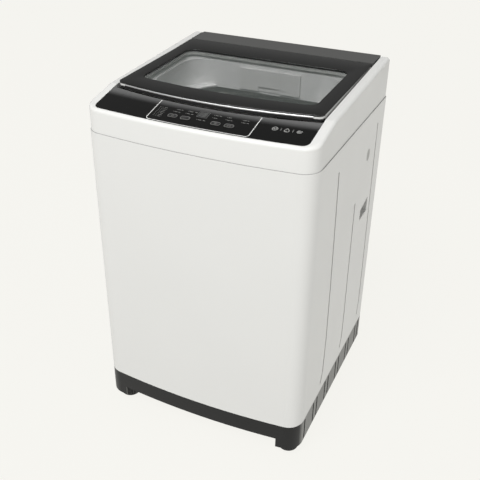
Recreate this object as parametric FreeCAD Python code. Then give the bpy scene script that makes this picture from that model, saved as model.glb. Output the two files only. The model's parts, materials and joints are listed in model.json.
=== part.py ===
"""Top-loading washing machine, one STEP file per sub-part in parts/NODE.step.

Millimetres, +Z up, front towards -Y, origin on the floor under the middle of the machine.
The suspended tub, the basket in it and the drive below it share one upright axis.
"""
import FreeCAD, Part
import math
import os

V = FreeCAD.Vector

# ---- overall ----
WIDTH = 550.0
CABINET_DEPTH = 552.0        # front bow's crown to the back of the cabinet
BACK_PROUD = 4.0             # how far the service cover stands behind the cabinet
FRONT_BOW = 18.0             # how far the front crown stands before the corners
FRONT_CORNER = 42.0
REAR_CORNER = 12.0
BASE_BOTTOM = 29.0
BASE_TOP = 102.0
SKIRT_BOTTOM = 56.0          # front skirt between the corner legs
SEAM_Z = 788.0               # steel cabinet below, plastic top cover above
LID_TOP = 885.4              # top of the lid over its hinge
LID_TILT = math.degrees(math.atan(0.0289))
RIM_BACK_Z = 888.0
RIM_FRONT_Z = 866.5
PANEL_FRONT_Z = 845.0
PANEL_SLOPE = 0.22
SHEET = 1.2                  # cabinet steel
WALL = 3.0                   # plastic mouldings
FIT = 0.4                    # gap round a part that drops into a recess
TURN_GAP = 0.05              # radial clearance of a shaft in its bearing

HALF = WIDTH / 2
FRONT_Y = -(CABINET_DEPTH + BACK_PROUD) / 2
REAR_Y = FRONT_Y + CABINET_DEPTH

# ---- top cover ----
COVER_INSET = 2.0            # the cover stands this far inside the cabinet's face
SHOULDER = 8.0               # rounding of the cover's outer top edge
RIM_WIDTH = 22.5             # cover's face to the opening, at the sides
RIM_FRONT_WIDTH = 8.0
RIM_BREAK_Y = FRONT_Y + 118  # rim is level behind this and falls with the panel before it
OPENING_CORNER = 17.0

# ---- lid ----
HINGE_Y = REAR_Y - 76
HINGE_DROP = 6.0             # hinge axis below the lid's top
HINGE_PIN_R = 2.0
KNUCKLE_R = 3.4
LID_SIDE_GAP = 3.8
LID_FRONT_Y = FRONT_Y + 96
LID_BOW_R = 1170.0
LID_CORNER = 14.0
LID_BACK_REACH = 3.2         # lid's back edge behind the hinge axis
BEZEL_THICK = 2.4
GLASS_THICK = 4.0
UNDERFRAME_DEEP = 14.0       # lid's top to the underside of its frame
WINDOW_HALF = HALF - 62
WINDOW_FRONT_Y = LID_FRONT_Y + 56
WINDOW_BACK_Y = HINGE_Y - 74
WINDOW_BOW_R = 1417.0
WINDOW_CORNER = 22.0
GLASS_LAP = 12.0
TRIM_TALL = 5.0
TRIM_HALF = HALF - 49
KNUCKLE_X0 = HALF - 70       # hinge knuckles from here
KNUCKLE_X1 = HALF - 44       # to here, brackets outside them
BRACKET_X1 = HALF - 31
FINGER_GAP = 11.0            # slot before the lid's front edge

# ---- tray and throat under the lid ----
DECK_DROP = 21.0             # lid's top to the deck
DECK_THICK = 3.0
THROAT_HALF = HALF - 68
THROAT_FRONT_Y = LID_FRONT_Y + 44
THROAT_BACK_Y = HINGE_Y - 68
THROAT_CORNER = 95.0
THROAT_BOTTOM = 793.0

TRAY_FRONT_Y = LID_FRONT_Y - 16  # front edge of the deck, under the panel's back edge
REAR_LIP_Z = 846.0
SEAM_GAP = 4.2               # lid's back edge to the rear panel

# ---- control panel ----
FASCIA_THICK = 3.5
KEY_XS = (-59.0, -28.5, 42.0, 72.5)
KEY_NAMES = ("power", "program", "water_level", "start")
KEY_IN = 39.0                # key centres behind the front crown
KEY_LONG = 21.4
KEY_WIDE = 12.4
KEY_CORNER = 4.5
KEY_GAP = 0.3
DISPLAY_X = 3.0
DISPLAY_IN = 62.0
DISPLAY_LONG = 25.0
DISPLAY_WIDE = 22.0

# ---- wash group ----
TUB_Y = 2.0
TUB_R = 248.0
TUB_BOTTOM = 190.0
TUB_TOP = 764.0
TUB_RING_HOLE_R = 190.0
BASKET_R = 226.0
BASKET_SHEET = 1.0
BASKET_BOTTOM = 232.0
BASKET_TOP = 722.0
BALANCE_TOP = 757.0
BALANCE_HOLE_R = 188.0
HUB_R = 62.0
SPIN_SHAFT_R = 19.0
AGITATE_SHAFT_R = 9.0
PULSATOR_R = 168.0
PULSATOR_Z = 247.0
BRACKET_Z = 171.0            # underside of the drive bracket's plate
BRACKET_THICK = 3.0
GEARBOX_R = 58.0
GEARBOX_BOTTOM = 120.0
PULLEY_Z = 92.0
PULLEY_TALL = 16.0
DRIVE_PULLEY_R = 80.0
MOTOR_PULLEY_R = 24.0
MOTOR_X = 118.0
MOTOR_Y = 95.0
MOTOR_R = 62.0
BELT_THICK = 5.0
MOTOR_SHAFT_R = 6.0
BEARING_R = 30.0
PADDLES = 4
DRAIN_HOLE_R = 20.0
BELLOWS_R = 20.0
BELLOWS_TOP = 144.0
DRAIN_BELLOWS_Z = 100.0

# ---- suspension ----
ROD_X = HALF - 49
ROD_Y = CABINET_DEPTH / 2 - 54
ROD_R = 4.0
ROD_TOP = 762.0
ROD_BOTTOM = 214.0
SPRING_BOTTOM = 230.0
EAR_Z = 330.0
EAR_THICK = 12.0
EAR_R = 21.0
SPRING_R = 16.0
SPRING_WIRE_R = 2.2
SPRING_TURNS = 7
CORNER_PLATE_Z = 750.0

# ---- base ----
BASE_HOLE_R = 175.0
SLOT_PAIRS = 6               # vent slots in the sides of the base, in pairs
SLOT_FIRST_Y = FRONT_Y + 53
SLOT_PITCH = 91.0
SLOT_TWIN = 27.0
SLOT_WIDE = 7.0

# ---- feet ----
FOOT_X = HALF - 38
FRONT_FOOT_Y = FRONT_Y + 59
REAR_FOOT_Y = REAR_Y - 42
FOOT_R = 27.0
SOLE_TALL = 7.0
STUD_R = 5.0
FOOT_RIBS = 24

# ---- rear and side fittings ----
PORT_R = 13.2                # G 3/4 water inlet
PORT_X = -150.0
PORT_Z = 824.0
PORT_CUP_HALF = 26.0
PORT_CUP_RISE = 20.0
PORT_LONG = 24.0
PORT_COLLAR_R = 16.5
SCREW_R = 2.1
SOCKET_R = 12.0
SPIGOT_R = 14.0
SPIGOT_LONG = 34.0
DRAIN_X = -120.0
DRAIN_Y = 122.0
DRAIN_Z = 78.0
HATCH_HALF = 34.0            # window in the base's back wall round the drain spigot
CUP_DEEP = 30.0
GRIP_Y = 154.0
GRIP_Z = 521.0
GRIP_LONG = 66.0
GRIP_TALL = 46.0
PLUG_Y = 141.0
PLUG_Z = 677.0
PLUG_R = 13.0
PLUG_TALL = 31.0
SERVICE_HALF = 180.0
SERVICE_Z0 = 190.0
SERVICE_Z1 = 700.0
SERVICE_LAP = 12.0
GLAND_R = 9.0
GLAND_X = 205.0
GLAND_Z = 150.0
BEAD_WIDE = 7.0              # pressed lines in the side walls
BEAD_DEEP = 2.6
BEADS = (                    # each a run of (y, z) points from its top
    ((-105.0, 733.0), (-99.0, 612.0), (-91.5, 444.0), (-86.5, 259.0), (-91.5, 157.0), (-105.0, 127.0)),
    ((61.0, 578.0), (64.0, 400.0), (67.0, 240.0), (66.0, 160.0), (55.0, 130.0)),
    ((206.0, 738.0), (212.0, 500.0), (220.0, 300.0), (222.0, 180.0), (214.0, 138.0)),
)
DRAWER_X = 10.0
DRAWER_WIDE = 150.0
DRAWER_TALL = 46.0
DRAWER_LONG = 74.0
DRAWER_TOP = 851.0

parts = {}


# ---- drawing helpers ----
def block(x0, x1, y0, y1, z0, z1):
    """Box between two corners."""
    return Part.makeBox(x1 - x0, y1 - y0, z1 - z0, V(x0, y0, z0))


def rod(radius, start, end):
    """Round bar from one point to another."""
    way = end - start
    return Part.makeCylinder(radius, way.Length, start, way)


def upright(radius, z0, z1, x=0.0, y=TUB_Y):
    """Round bar along Z."""
    return Part.makeCylinder(radius, z1 - z0, V(x, y, z0))


def tube(outer, inner, z0, z1, x=0.0, y=TUB_Y):
    """Round tube along Z."""
    return upright(outer, z0, z1, x, y).cut(upright(inner, z0 - 1, z1 + 1, x, y))


def fuse(first, *others):
    """One solid from pieces that touch or overlap."""
    return first.multiFuse(list(others)).removeSplitter()


def turned(points, x=0.0, y=TUB_Y):
    """Solid of revolution about an upright axis; points are (radius, z)."""
    corners = [V(x + radius, y, z) for radius, z in points]
    face = Part.Face(Part.makePolygon(corners + corners[:1]))
    return face.revolve(V(x, y, 0), V(0, 0, 1), 360)


def across(points, x0, x1):
    """Bar along X whose section is a polygon of (y, z) points."""
    corners = [V(x0, y, z) for y, z in points]
    face = Part.Face(Part.makePolygon(corners + corners[:1]))
    return face.extrude(V(x1 - x0, 0, 0))


def group(shapes):
    """Separate solids of one node."""
    return Part.makeCompound(shapes)


class Outline:
    """Plan outline with straight sides and back, a front bowed outwards and round corners."""

    def __init__(self, half, front, rear, bow_radius, front_corner, rear_corner):
        self.half = half
        self.front = front
        self.rear = rear
        self.bow_radius = bow_radius
        self.front_corner = front_corner
        self.rear_corner = rear_corner

    def face(self, inset=0.0):
        """Flat face at z = 0, drawn inside the outline by the inset."""
        half = self.half - inset
        front = self.front + inset
        rear = self.rear - inset
        bow = self.bow_radius - inset
        corner = max(self.front_corner - inset, 1.0)
        back = max(self.rear_corner - inset, 1.0)
        centre_y = front + bow
        arc_x = half - corner
        arc_y = centre_y - math.sqrt((bow - corner) ** 2 - arc_x ** 2)
        reach = bow / (bow - corner)
        join = V(arc_x * reach, centre_y + (arc_y - centre_y) * reach, 0)
        lean = math.atan2(arc_y - centre_y, arc_x) / 2
        middle = V(arc_x + corner * math.cos(lean), arc_y + corner * math.sin(lean), 0)
        side = V(half, arc_y, 0)
        bend = V(half, rear - back, 0)
        turn = back * (1 - math.sqrt(0.5))
        bend_middle = V(half - turn, rear - turn, 0)
        end = V(half - back, rear, 0)
        mirror = [V(-p.x, p.y, 0) for p in (join, middle, side, bend, bend_middle, end)]
        edges = [
            Part.Arc(mirror[0], V(0, front, 0), join).toShape(),
            Part.Arc(join, middle, side).toShape(),
            Part.LineSegment(side, bend).toShape(),
            Part.Arc(bend, bend_middle, end).toShape(),
            Part.LineSegment(end, mirror[5]).toShape(),
            Part.Arc(mirror[5], mirror[4], mirror[3]).toShape(),
            Part.LineSegment(mirror[3], mirror[2]).toShape(),
            Part.Arc(mirror[2], mirror[1], mirror[0]).toShape(),
        ]
        return Part.Face(Part.Wire(edges))

    def prism(self, z0, z1, inset=0.0):
        """Upright solid with this outline."""
        face = self.face(inset)
        face.translate(V(0, 0, z0))
        return face.extrude(V(0, 0, z1 - z0))

    def ring(self, z0, z1, outer_inset, inner_inset):
        """Upright wall between two insets of this outline."""
        return self.prism(z0, z1, outer_inset).cut(self.prism(z0 - 1, z1 + 1, inner_inset))


BOW_R = HALF ** 2 / (2 * FRONT_BOW) + FRONT_BOW / 2
BOW_CENTRE_Y = FRONT_Y + BOW_R
BOW_HALF_ANGLE = math.degrees(math.asin((HALF + 20) / BOW_R))
HINGE_Z = LID_TOP - HINGE_DROP
OPENING_HALF = HALF - COVER_INSET - RIM_WIDTH
LID_HALF = OPENING_HALF - LID_SIDE_GAP
FASCIA_BACK_Y = LID_FRONT_Y - FINGER_GAP
DECK_TOP = LID_TOP - DECK_DROP
DECK_BOTTOM = DECK_TOP - DECK_THICK

body = Outline(HALF, FRONT_Y, REAR_Y, BOW_R, FRONT_CORNER, REAR_CORNER)
opening_front = FRONT_Y + COVER_INSET + RIM_FRONT_WIDTH
opening_back = REAR_Y - COVER_INSET - WALL
opening = Outline(OPENING_HALF, opening_front, opening_back,
                  BOW_R - COVER_INSET - RIM_FRONT_WIDTH, OPENING_CORNER, 4.0)
lid_outline = Outline(LID_HALF, LID_FRONT_Y, HINGE_Y + LID_BACK_REACH, LID_BOW_R, LID_CORNER, 2.0)
window = Outline(WINDOW_HALF, WINDOW_FRONT_Y, WINDOW_BACK_Y, WINDOW_BOW_R, WINDOW_CORNER, WINDOW_CORNER)
throat = Outline(THROAT_HALF, THROAT_FRONT_Y, THROAT_BACK_Y, 900.0, THROAT_CORNER, 60.0)


def tilted(shape):
    """Lean a part drawn level to the slope of the lid, about the hinge axis."""
    return shape.rotated(V(0, HINGE_Y, HINGE_Z), V(1, 0, 0), LID_TILT)


def lid_height(y):
    """Height of the lid's top over a place in the plan."""
    return LID_TOP + (y - HINGE_Y) * math.tan(math.radians(LID_TILT))


def panel_height(inward):
    """Height of the control panel at a distance behind the front crown."""
    return PANEL_FRONT_Z + PANEL_SLOPE * (inward - COVER_INSET - RIM_FRONT_WIDTH)


def round_the_bow(points):
    """Solid swept round the front bow; points are (distance behind the crown, z)."""
    corners = [V(0, FRONT_Y + inward, z) for inward, z in points]
    face = Part.Face(Part.makePolygon(corners + corners[:1]))
    pivot = V(0, BOW_CENTRE_Y, 0)
    face.rotate(pivot, V(0, 0, 1), -BOW_HALF_ANGLE)
    return face.revolve(pivot, V(0, 0, 1), 2 * BOW_HALF_ANGLE)


def above_rim(lower=0.0):
    """Space over the cover's sloping rim, lowered by a wall for the space inside it."""
    slope = (RIM_BACK_Z - RIM_FRONT_Z) / (REAR_Y - RIM_BREAK_Y)
    behind = REAR_Y + 20
    before = FRONT_Y - 20
    front_z = RIM_BACK_Z - slope * (REAR_Y - before) - lower
    back_z = RIM_BACK_Z + slope * 20 - lower
    roof = LID_TOP + 100
    return across([(before, front_z), (behind, back_z), (behind, roof), (before, roof)], -HALF - 9, HALF + 9)


def above_panel(lower=0.0):
    """Space over the control panel's slope, swept round the bow."""
    far = 190.0
    roof = LID_TOP + 100
    return round_the_bow([(-20, panel_height(-20) - lower), (far, panel_height(far) - lower),
                          (far, roof), (-20, roof)])


# ---- cabinet and base ----
def side_bead(route, wide, x0, x1):
    """Pressed line on a side wall: a band along (y, z) points, wide in Y, between two X planes."""
    half = wide / 2
    ahead = [V(x0, y - half, z) for y, z in route]
    back = [V(x0, y + half, z) for y, z in reversed(route)]
    face = Part.Face(Part.makePolygon(ahead + back + ahead[:1]))
    return face.extrude(V(x1 - x0, 0, 0))


def corner_plates():
    """Four gussets welded across the cabinet's corners, which the tub hangs from."""
    plates = []
    for x, y in rod_places():
        side_x = math.copysign(1, x)
        side_y = math.copysign(1, y - TUB_Y)
        corner = block(min(x - side_x * 28, side_x * HALF), max(x - side_x * 28, side_x * HALF),
                       min(y - side_y * 28, y + side_y * 60), max(y - side_y * 28, y + side_y * 60),
                       CORNER_PLATE_Z, CORNER_PLATE_Z + 3)
        plate = corner.common(body.prism(CORNER_PLATE_Z, CORNER_PLATE_Z + 3, SHEET / 2))
        plates.append(plate.cut(upright(SOCKET_R, CORNER_PLATE_Z - 1, CORNER_PLATE_Z + 4, x, y)))
    return plates


def rod_places():
    """Plan centres of the four suspension rods."""
    return [(x, TUB_Y + y) for y in (-ROD_Y, ROD_Y) for x in (-ROD_X, ROD_X)]


def make_cabinet():
    """Wrap of painted sheet with turned-in flanges, pressed side lines and openings."""
    wall = body.ring(BASE_TOP, SEAM_Z, 0, SHEET)
    top_flange = body.ring(SEAM_Z - SHEET, SEAM_Z, SHEET, 14)
    foot_flange = body.ring(BASE_TOP, BASE_TOP + SHEET, SHEET, 14)
    shell = fuse(wall, top_flange, foot_flange)
    for side in (-1, 1):
        face_x = side * HALF
        for route in BEADS:
            back_x = face_x - side * (BEAD_DEEP + SHEET)
            groove_x = face_x - side * BEAD_DEEP
            backing = side_bead(route, BEAD_WIDE + 2 * SHEET, back_x, face_x)
            groove = side_bead(route, BEAD_WIDE, groove_x, face_x + side)
            shell = shell.fuse(backing).cut(groove)
        grip = block(face_x - 5, face_x + 5, GRIP_Y - GRIP_LONG / 2, GRIP_Y + GRIP_LONG / 2,
                     GRIP_Z - GRIP_TALL / 2, GRIP_Z + GRIP_TALL / 2)
        plug_hole = side_slot(PLUG_R, face_x - 5, face_x + 5)
        shell = shell.cut(grip).cut(plug_hole)
    service = block(-SERVICE_HALF, SERVICE_HALF, REAR_Y - 5, REAR_Y + 5, SERVICE_Z0, SERVICE_Z1)
    gland = rod(GLAND_R, V(GLAND_X, REAR_Y - 5, GLAND_Z), V(GLAND_X, REAR_Y + 5, GLAND_Z))
    shell = shell.cut(service).cut(gland)
    return fuse(shell, *corner_plates())


def side_slot(radius, x0, x1):
    """Upright round-ended slug through a side wall."""
    rise = PLUG_TALL / 2 - PLUG_R
    low = V(x0, PLUG_Y, PLUG_Z - rise)
    high = V(x0, PLUG_Y, PLUG_Z + rise)
    reach = V(x1 - x0, 0, 0)
    middle = block(min(x0, x1), max(x0, x1), PLUG_Y - radius, PLUG_Y + radius, low.z, high.z)
    return fuse(rod(radius, low, low + reach), rod(radius, high, high + reach), middle)


def make_side_plugs():
    """Blanking plug in each side wall, with a snap collar behind the sheet."""
    plugs = []
    for side in (-1, 1):
        face_x = side * HALF
        cap = side_slot(PLUG_R, face_x - side * SHEET, face_x - side * 0.2)
        collar = side_slot(PLUG_R - 2.5, face_x - side * 6, face_x - side * SHEET)
        plugs.append(fuse(cap, collar))
    return group(plugs)


def make_base():
    """Moulded base: skirt, floor web, legs at the corners, foot bosses and vent slots."""
    wall = body.ring(BASE_BOTTOM, BASE_TOP - 4, 0, WALL)
    rim = body.ring(BASE_TOP - 4, BASE_TOP, 0, 34)
    floor = body.prism(SKIRT_BOTTOM, SKIRT_BOTTOM + WALL, WALL)
    floor = floor.cut(upright(BASE_HOLE_R, SKIRT_BOTTOM - 1, SKIRT_BOTTOM + WALL + 1))
    base = fuse(wall, rim, floor)
    leg_inner = FOOT_X - 18
    base = base.cut(block(-leg_inner, leg_inner, FRONT_Y - 5, FRONT_Y + 60, 0, SKIRT_BOTTOM))
    base = base.cut(block(-leg_inner, leg_inner, REAR_Y - 60, REAR_Y + 5, 0, SKIRT_BOTTOM))
    pads = []
    for x, y in foot_places():
        pads.append(upright(FOOT_R + 3, BASE_BOTTOM, BASE_BOTTOM + 4, x, y).common(
            body.prism(0, SEAM_Z, WALL)))
        pads.append(upright(STUD_R + 8, BASE_BOTTOM, SKIRT_BOTTOM, x, y))
    base = fuse(base, *pads)
    for x, y in foot_places():
        base = base.cut(upright(STUD_R + TURN_GAP, 0, SKIRT_BOTTOM + 10, x, y))
    side_skin = body.ring(0, BASE_TOP, -1, WALL)
    for pair in range(SLOT_PAIRS):
        for twin in (-0.5, 0.5):
            y = SLOT_FIRST_Y + pair * SLOT_PITCH + twin * SLOT_TWIN
            if y < FRONT_Y + FRONT_BOW + FRONT_CORNER:
                continue
            slot = block(-HALF - 5, HALF + 5, y - SLOT_WIDE / 2, y + SLOT_WIDE / 2,
                         BASE_BOTTOM + 4, BASE_TOP - 6)
            base = base.cut(slot.common(side_skin))
    hatch = block(DRAIN_X - HATCH_HALF, DRAIN_X + HATCH_HALF, REAR_Y - 10, REAR_Y + 5,
                  SKIRT_BOTTOM + WALL, BASE_TOP - 4)
    return base.cut(hatch).removeSplitter()


def foot_places():
    """Plan centres of the four feet: front left, front right, rear left, rear right."""
    return [(x, y) for y in (FRONT_FOOT_Y, REAR_FOOT_Y) for x in (-FOOT_X, FOOT_X)]


parts["cabinet"] = make_cabinet()
parts["base"] = make_base()
parts["side_plugs"] = make_side_plugs()


# ---- back of the cabinet ----
def make_service_cover():
    """Pressed steel cover over the service opening, with a raised field and fixing holes."""
    lap = SERVICE_LAP
    plate = block(-SERVICE_HALF - lap, SERVICE_HALF + lap, REAR_Y, REAR_Y + SHEET,
                  SERVICE_Z0 - lap, SERVICE_Z1 + lap)
    margin = 20.0
    x = SERVICE_HALF - margin
    z0 = SERVICE_Z0 + margin
    z1 = SERVICE_Z1 - margin
    raised = block(-x, x, REAR_Y, REAR_Y + BACK_PROUD, z0, z1)
    hollow = block(-x + SHEET, x - SHEET, REAR_Y - 1, REAR_Y + BACK_PROUD - SHEET, z0 + SHEET, z1 - SHEET)
    cover = fuse(plate, raised).cut(hollow)
    for x, z in service_screw_places():
        cover = cover.cut(rod(SCREW_R, V(x, REAR_Y - 1, z), V(x, REAR_Y + 5, z)))
    return cover


def service_screw_places():
    """Fixings round the service cover's edge."""
    x = SERVICE_HALF + SERVICE_LAP / 2
    heights = (SERVICE_Z0 + 10, (SERVICE_Z0 + SERVICE_Z1) / 2, SERVICE_Z1 - 10)
    return [(side * x, z) for side in (-1, 1) for z in heights]


def make_service_screws():
    """Pan-head screws of the service cover, shanks cut off at the sheet behind."""
    screws = []
    for x, z in service_screw_places():
        shank = rod(SCREW_R, V(x, REAR_Y, z), V(x, REAR_Y + SHEET, z))
        head = rod(SCREW_R * 1.9, V(x, REAR_Y + SHEET, z), V(x, REAR_Y + SHEET + 2, z))
        screws.append(fuse(shank, head))
    return group(screws)


def make_cord_gland():
    """Moulded gland in the back wall where the mains lead comes out."""
    flange = rod(GLAND_R + 4, V(GLAND_X, REAR_Y - SHEET - 3, GLAND_Z), V(GLAND_X, REAR_Y - SHEET, GLAND_Z))
    barrel = rod(GLAND_R - 0.1, V(GLAND_X, REAR_Y - SHEET, GLAND_Z), V(GLAND_X, REAR_Y + 3, GLAND_Z))
    bore = rod(4.0, V(GLAND_X, REAR_Y - 9, GLAND_Z), V(GLAND_X, REAR_Y + 9, GLAND_Z))
    return fuse(flange, barrel).cut(bore)


def make_rod_sockets():
    """Nylon ball sockets seated in the corner plates, each bored for its rod."""
    sockets = []
    for x, y in rod_places():
        neck = upright(SOCKET_R, CORNER_PLATE_Z - 4, CORNER_PLATE_Z + 3, x, y)
        collar = upright(SOCKET_R + 5, CORNER_PLATE_Z + 3, CORNER_PLATE_Z + 8, x, y)
        bore = upright(ROD_R, CORNER_PLATE_Z - 5, ROD_TOP, x, y)
        sockets.append(fuse(neck, collar).cut(bore))
    return group(sockets)


def make_suspension_rods():
    """Steel rods with a formed head over the socket and a threaded end under the spring cup."""
    rods = []
    for x, y in rod_places():
        shank = upright(ROD_R, ROD_BOTTOM, CORNER_PLATE_Z + 8, x, y)
        head = upright(ROD_R + 3.5, CORNER_PLATE_Z + 8, ROD_TOP, x, y)
        rods.append(fuse(shank, head))
    return group(rods)


def make_spring_cups():
    """Cups at the rods' lower ends that carry the springs."""
    cups = []
    for x, y in rod_places():
        plate = upright(SPRING_R + 5, SPRING_BOTTOM - 3, SPRING_BOTTOM, x, y)
        boss = upright(ROD_R + 4, ROD_BOTTOM + 4, SPRING_BOTTOM - 3, x, y)
        cups.append(fuse(plate, boss).cut(upright(ROD_R, 0, SPRING_BOTTOM + 1, x, y)))
    return group(cups)


def make_springs():
    """Compression springs between the cups and the tub's ears."""
    springs = []
    rise = EAR_Z - SPRING_BOTTOM - 2 * SPRING_WIRE_R - 0.6
    for x, y in rod_places():
        path = Part.makeHelix(rise / SPRING_TURNS, rise, SPRING_R)
        section = Part.Wire(Part.makeCircle(SPRING_WIRE_R, V(SPRING_R, 0, 0), V(0, 1, 0)))
        coil = Part.Wire(path).makePipeShell([section], True, True)
        coil.translate(V(x, y, SPRING_BOTTOM + SPRING_WIRE_R + 0.3))
        springs.append(coil)
    return group(springs)


parts["service_cover"] = make_service_cover()
parts["service_screws"] = make_service_screws()
parts["cord_gland"] = make_cord_gland()
parts["rod_sockets"] = make_rod_sockets()
parts["suspension_rods"] = make_suspension_rods()
parts["spring_cups"] = make_spring_cups()
parts["suspension_springs"] = make_springs()


# ---- feet ----
def make_foot(x, y):
    """Ribbed foot disc with its threaded stud."""
    disc = upright(FOOT_R - 1.5, SOLE_TALL, BASE_BOTTOM, x, y)
    for rib in range(FOOT_RIBS):
        angle = 2 * math.pi * rib / FOOT_RIBS
        reach = FOOT_R - 1.5
        disc = disc.fuse(upright(1.5, SOLE_TALL, BASE_BOTTOM, x + reach * math.cos(angle),
                                 y + reach * math.sin(angle)))
    stud = upright(STUD_R, BASE_BOTTOM, SKIRT_BOTTOM + 8, x, y)
    return fuse(disc, stud)


def make_sole(x, y):
    """Rubber sole under a foot, with a softened edge."""
    sole = turned([(0, 0), (FOOT_R - 4, 0), (FOOT_R - 2, 2), (FOOT_R - 2, SOLE_TALL), (0, SOLE_TALL)], x, y)
    return sole


front_feet = [(x, y) for x, y in foot_places() if y < 0]
rear_feet = [(x, y) for x, y in foot_places() if y > 0]
for name, (x, y) in zip(("left", "right"), front_feet):
    parts["foot_" + name] = make_foot(x, y)
    parts["sole_" + name] = make_sole(x, y)
parts["rear_feet"] = group([make_foot(x, y) for x, y in rear_feet])
parts["rear_soles"] = group([make_sole(x, y) for x, y in rear_feet])


# ---- side grips ----
def make_side_grip(side):
    """Moulded hand grip let into a side wall, its roof sloping up behind the lip."""
    face_x = side * (HALF - 0.2)
    deep = 34.0
    y0 = GRIP_Y - GRIP_LONG / 2 + FIT
    y1 = GRIP_Y + GRIP_LONG / 2 - FIT
    z0 = GRIP_Z - GRIP_TALL / 2 + FIT
    z1 = GRIP_Z + GRIP_TALL / 2 - FIT
    back_x = face_x - side * deep
    outer = block(min(face_x, back_x), max(face_x, back_x), y0, y1, z0, z1)
    inner = block(min(face_x + side, back_x + side * 2.2), max(face_x + side, back_x + side * 2.2),
                  y0 + 2.2, y1 - 2.2, z0 + 2.2, z1 - 2.2)
    brow = across([(y0 + 2.2, z1 - 16), (y1 - 2.2, z1 - 4), (y1 - 2.2, z1 - 1), (y0 + 2.2, z1 - 1)],
                  min(face_x, face_x - side * 3), max(face_x, face_x - side * 3))
    return fuse(outer.cut(inner), brow)


parts["side_grips"] = group([make_side_grip(-1), make_side_grip(1)])


# ---- top cover ----
def recess_cup(x, z, half_wide, half_tall, hole_r, inset):
    """Moulded cup let into the back, open to the rear, with a hole for a pipe in its floor."""
    face_y = REAR_Y - inset
    outer = block(x - half_wide, x + half_wide, face_y - CUP_DEEP, face_y, z - half_tall, z + half_tall)
    inner = block(x - half_wide + 2, x + half_wide - 2, face_y - CUP_DEEP + 2, face_y + 1,
                  z - half_tall + 2, z + half_tall - 2)
    hole = rod(hole_r, V(x, face_y - CUP_DEEP - 1, z), V(x, face_y, z))
    return outer.cut(inner).cut(hole)


def make_top_cover():
    """Plastic frame on the cabinet: rounded shoulder outside, upright wall round the opening."""
    outer = body.prism(SEAM_Z, LID_TOP + 30, COVER_INSET).cut(above_rim()).cut(above_panel())
    edge_line = body.face(COVER_INSET).OuterWire
    shoulder = []
    for edge in outer.Edges:
        middle = edge.valueAt((edge.FirstParameter + edge.LastParameter) / 2)
        level = abs(edge.Vertexes[0].Z - edge.Vertexes[-1].Z) < 0.3 * edge.Length
        flat = V(middle.x, middle.y, 0)
        if middle.z > SEAM_Z + 5 and level and edge_line.distToShape(Part.Vertex(flat))[0] < 0.05:
            shoulder.append(edge)
    outer = outer.makeFillet(SHOULDER, shoulder)
    room = body.prism(SEAM_Z - 1, LID_TOP + 30, COVER_INSET + WALL)
    room = room.cut(above_rim(WALL)).cut(above_panel(WALL)).cut(opening.prism(0, LID_TOP + 40, -WALL))
    cover = outer.cut(room).cut(opening.prism(0, LID_TOP + 40))
    lip_slot = block(-LID_HALF - FIT, LID_HALF + FIT, REAR_Y - 20, REAR_Y + 5, REAR_LIP_Z, LID_TOP + 40)
    port = block(PORT_X - PORT_CUP_HALF, PORT_X + PORT_CUP_HALF, REAR_Y - 20, REAR_Y + 5,
                 PORT_Z - PORT_CUP_RISE, PORT_Z + PORT_CUP_RISE)
    cup = recess_cup(PORT_X, PORT_Z, PORT_CUP_HALF, PORT_CUP_RISE, PORT_COLLAR_R + 0.5, COVER_INSET)
    return fuse(cover.cut(lip_slot).cut(port), cup)


def above_deck():
    """Space over the tilted deck under the lid."""
    slab = block(-HALF, HALF, FRONT_Y - 20, REAR_Y + 40, DECK_TOP, LID_TOP + 150)
    return tilted(slab)


def hinge_brackets():
    """Bearing blocks moulded on the deck at the lid's two hinges."""
    brackets = []
    for side in (-1, 1):
        inner_x = side * (KNUCKLE_X1 + 0.6)
        outer_x = side * BRACKET_X1
        x0 = min(inner_x, outer_x)
        x1 = max(inner_x, outer_x)
        post = block(x0, x1, HINGE_Y - KNUCKLE_R, HINGE_Y + 2.2, DECK_TOP - 1, HINGE_Z)
        eye = rod(KNUCKLE_R, V(x0, HINGE_Y, HINGE_Z), V(x1, HINGE_Y, HINGE_Z))
        bore = rod(HINGE_PIN_R + TURN_GAP, V(x0 - 1, HINGE_Y, HINGE_Z), V(x1 + 1, HINGE_Y, HINGE_Z))
        brackets.append(tilted(fuse(post, eye).cut(bore)))
    return brackets


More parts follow.
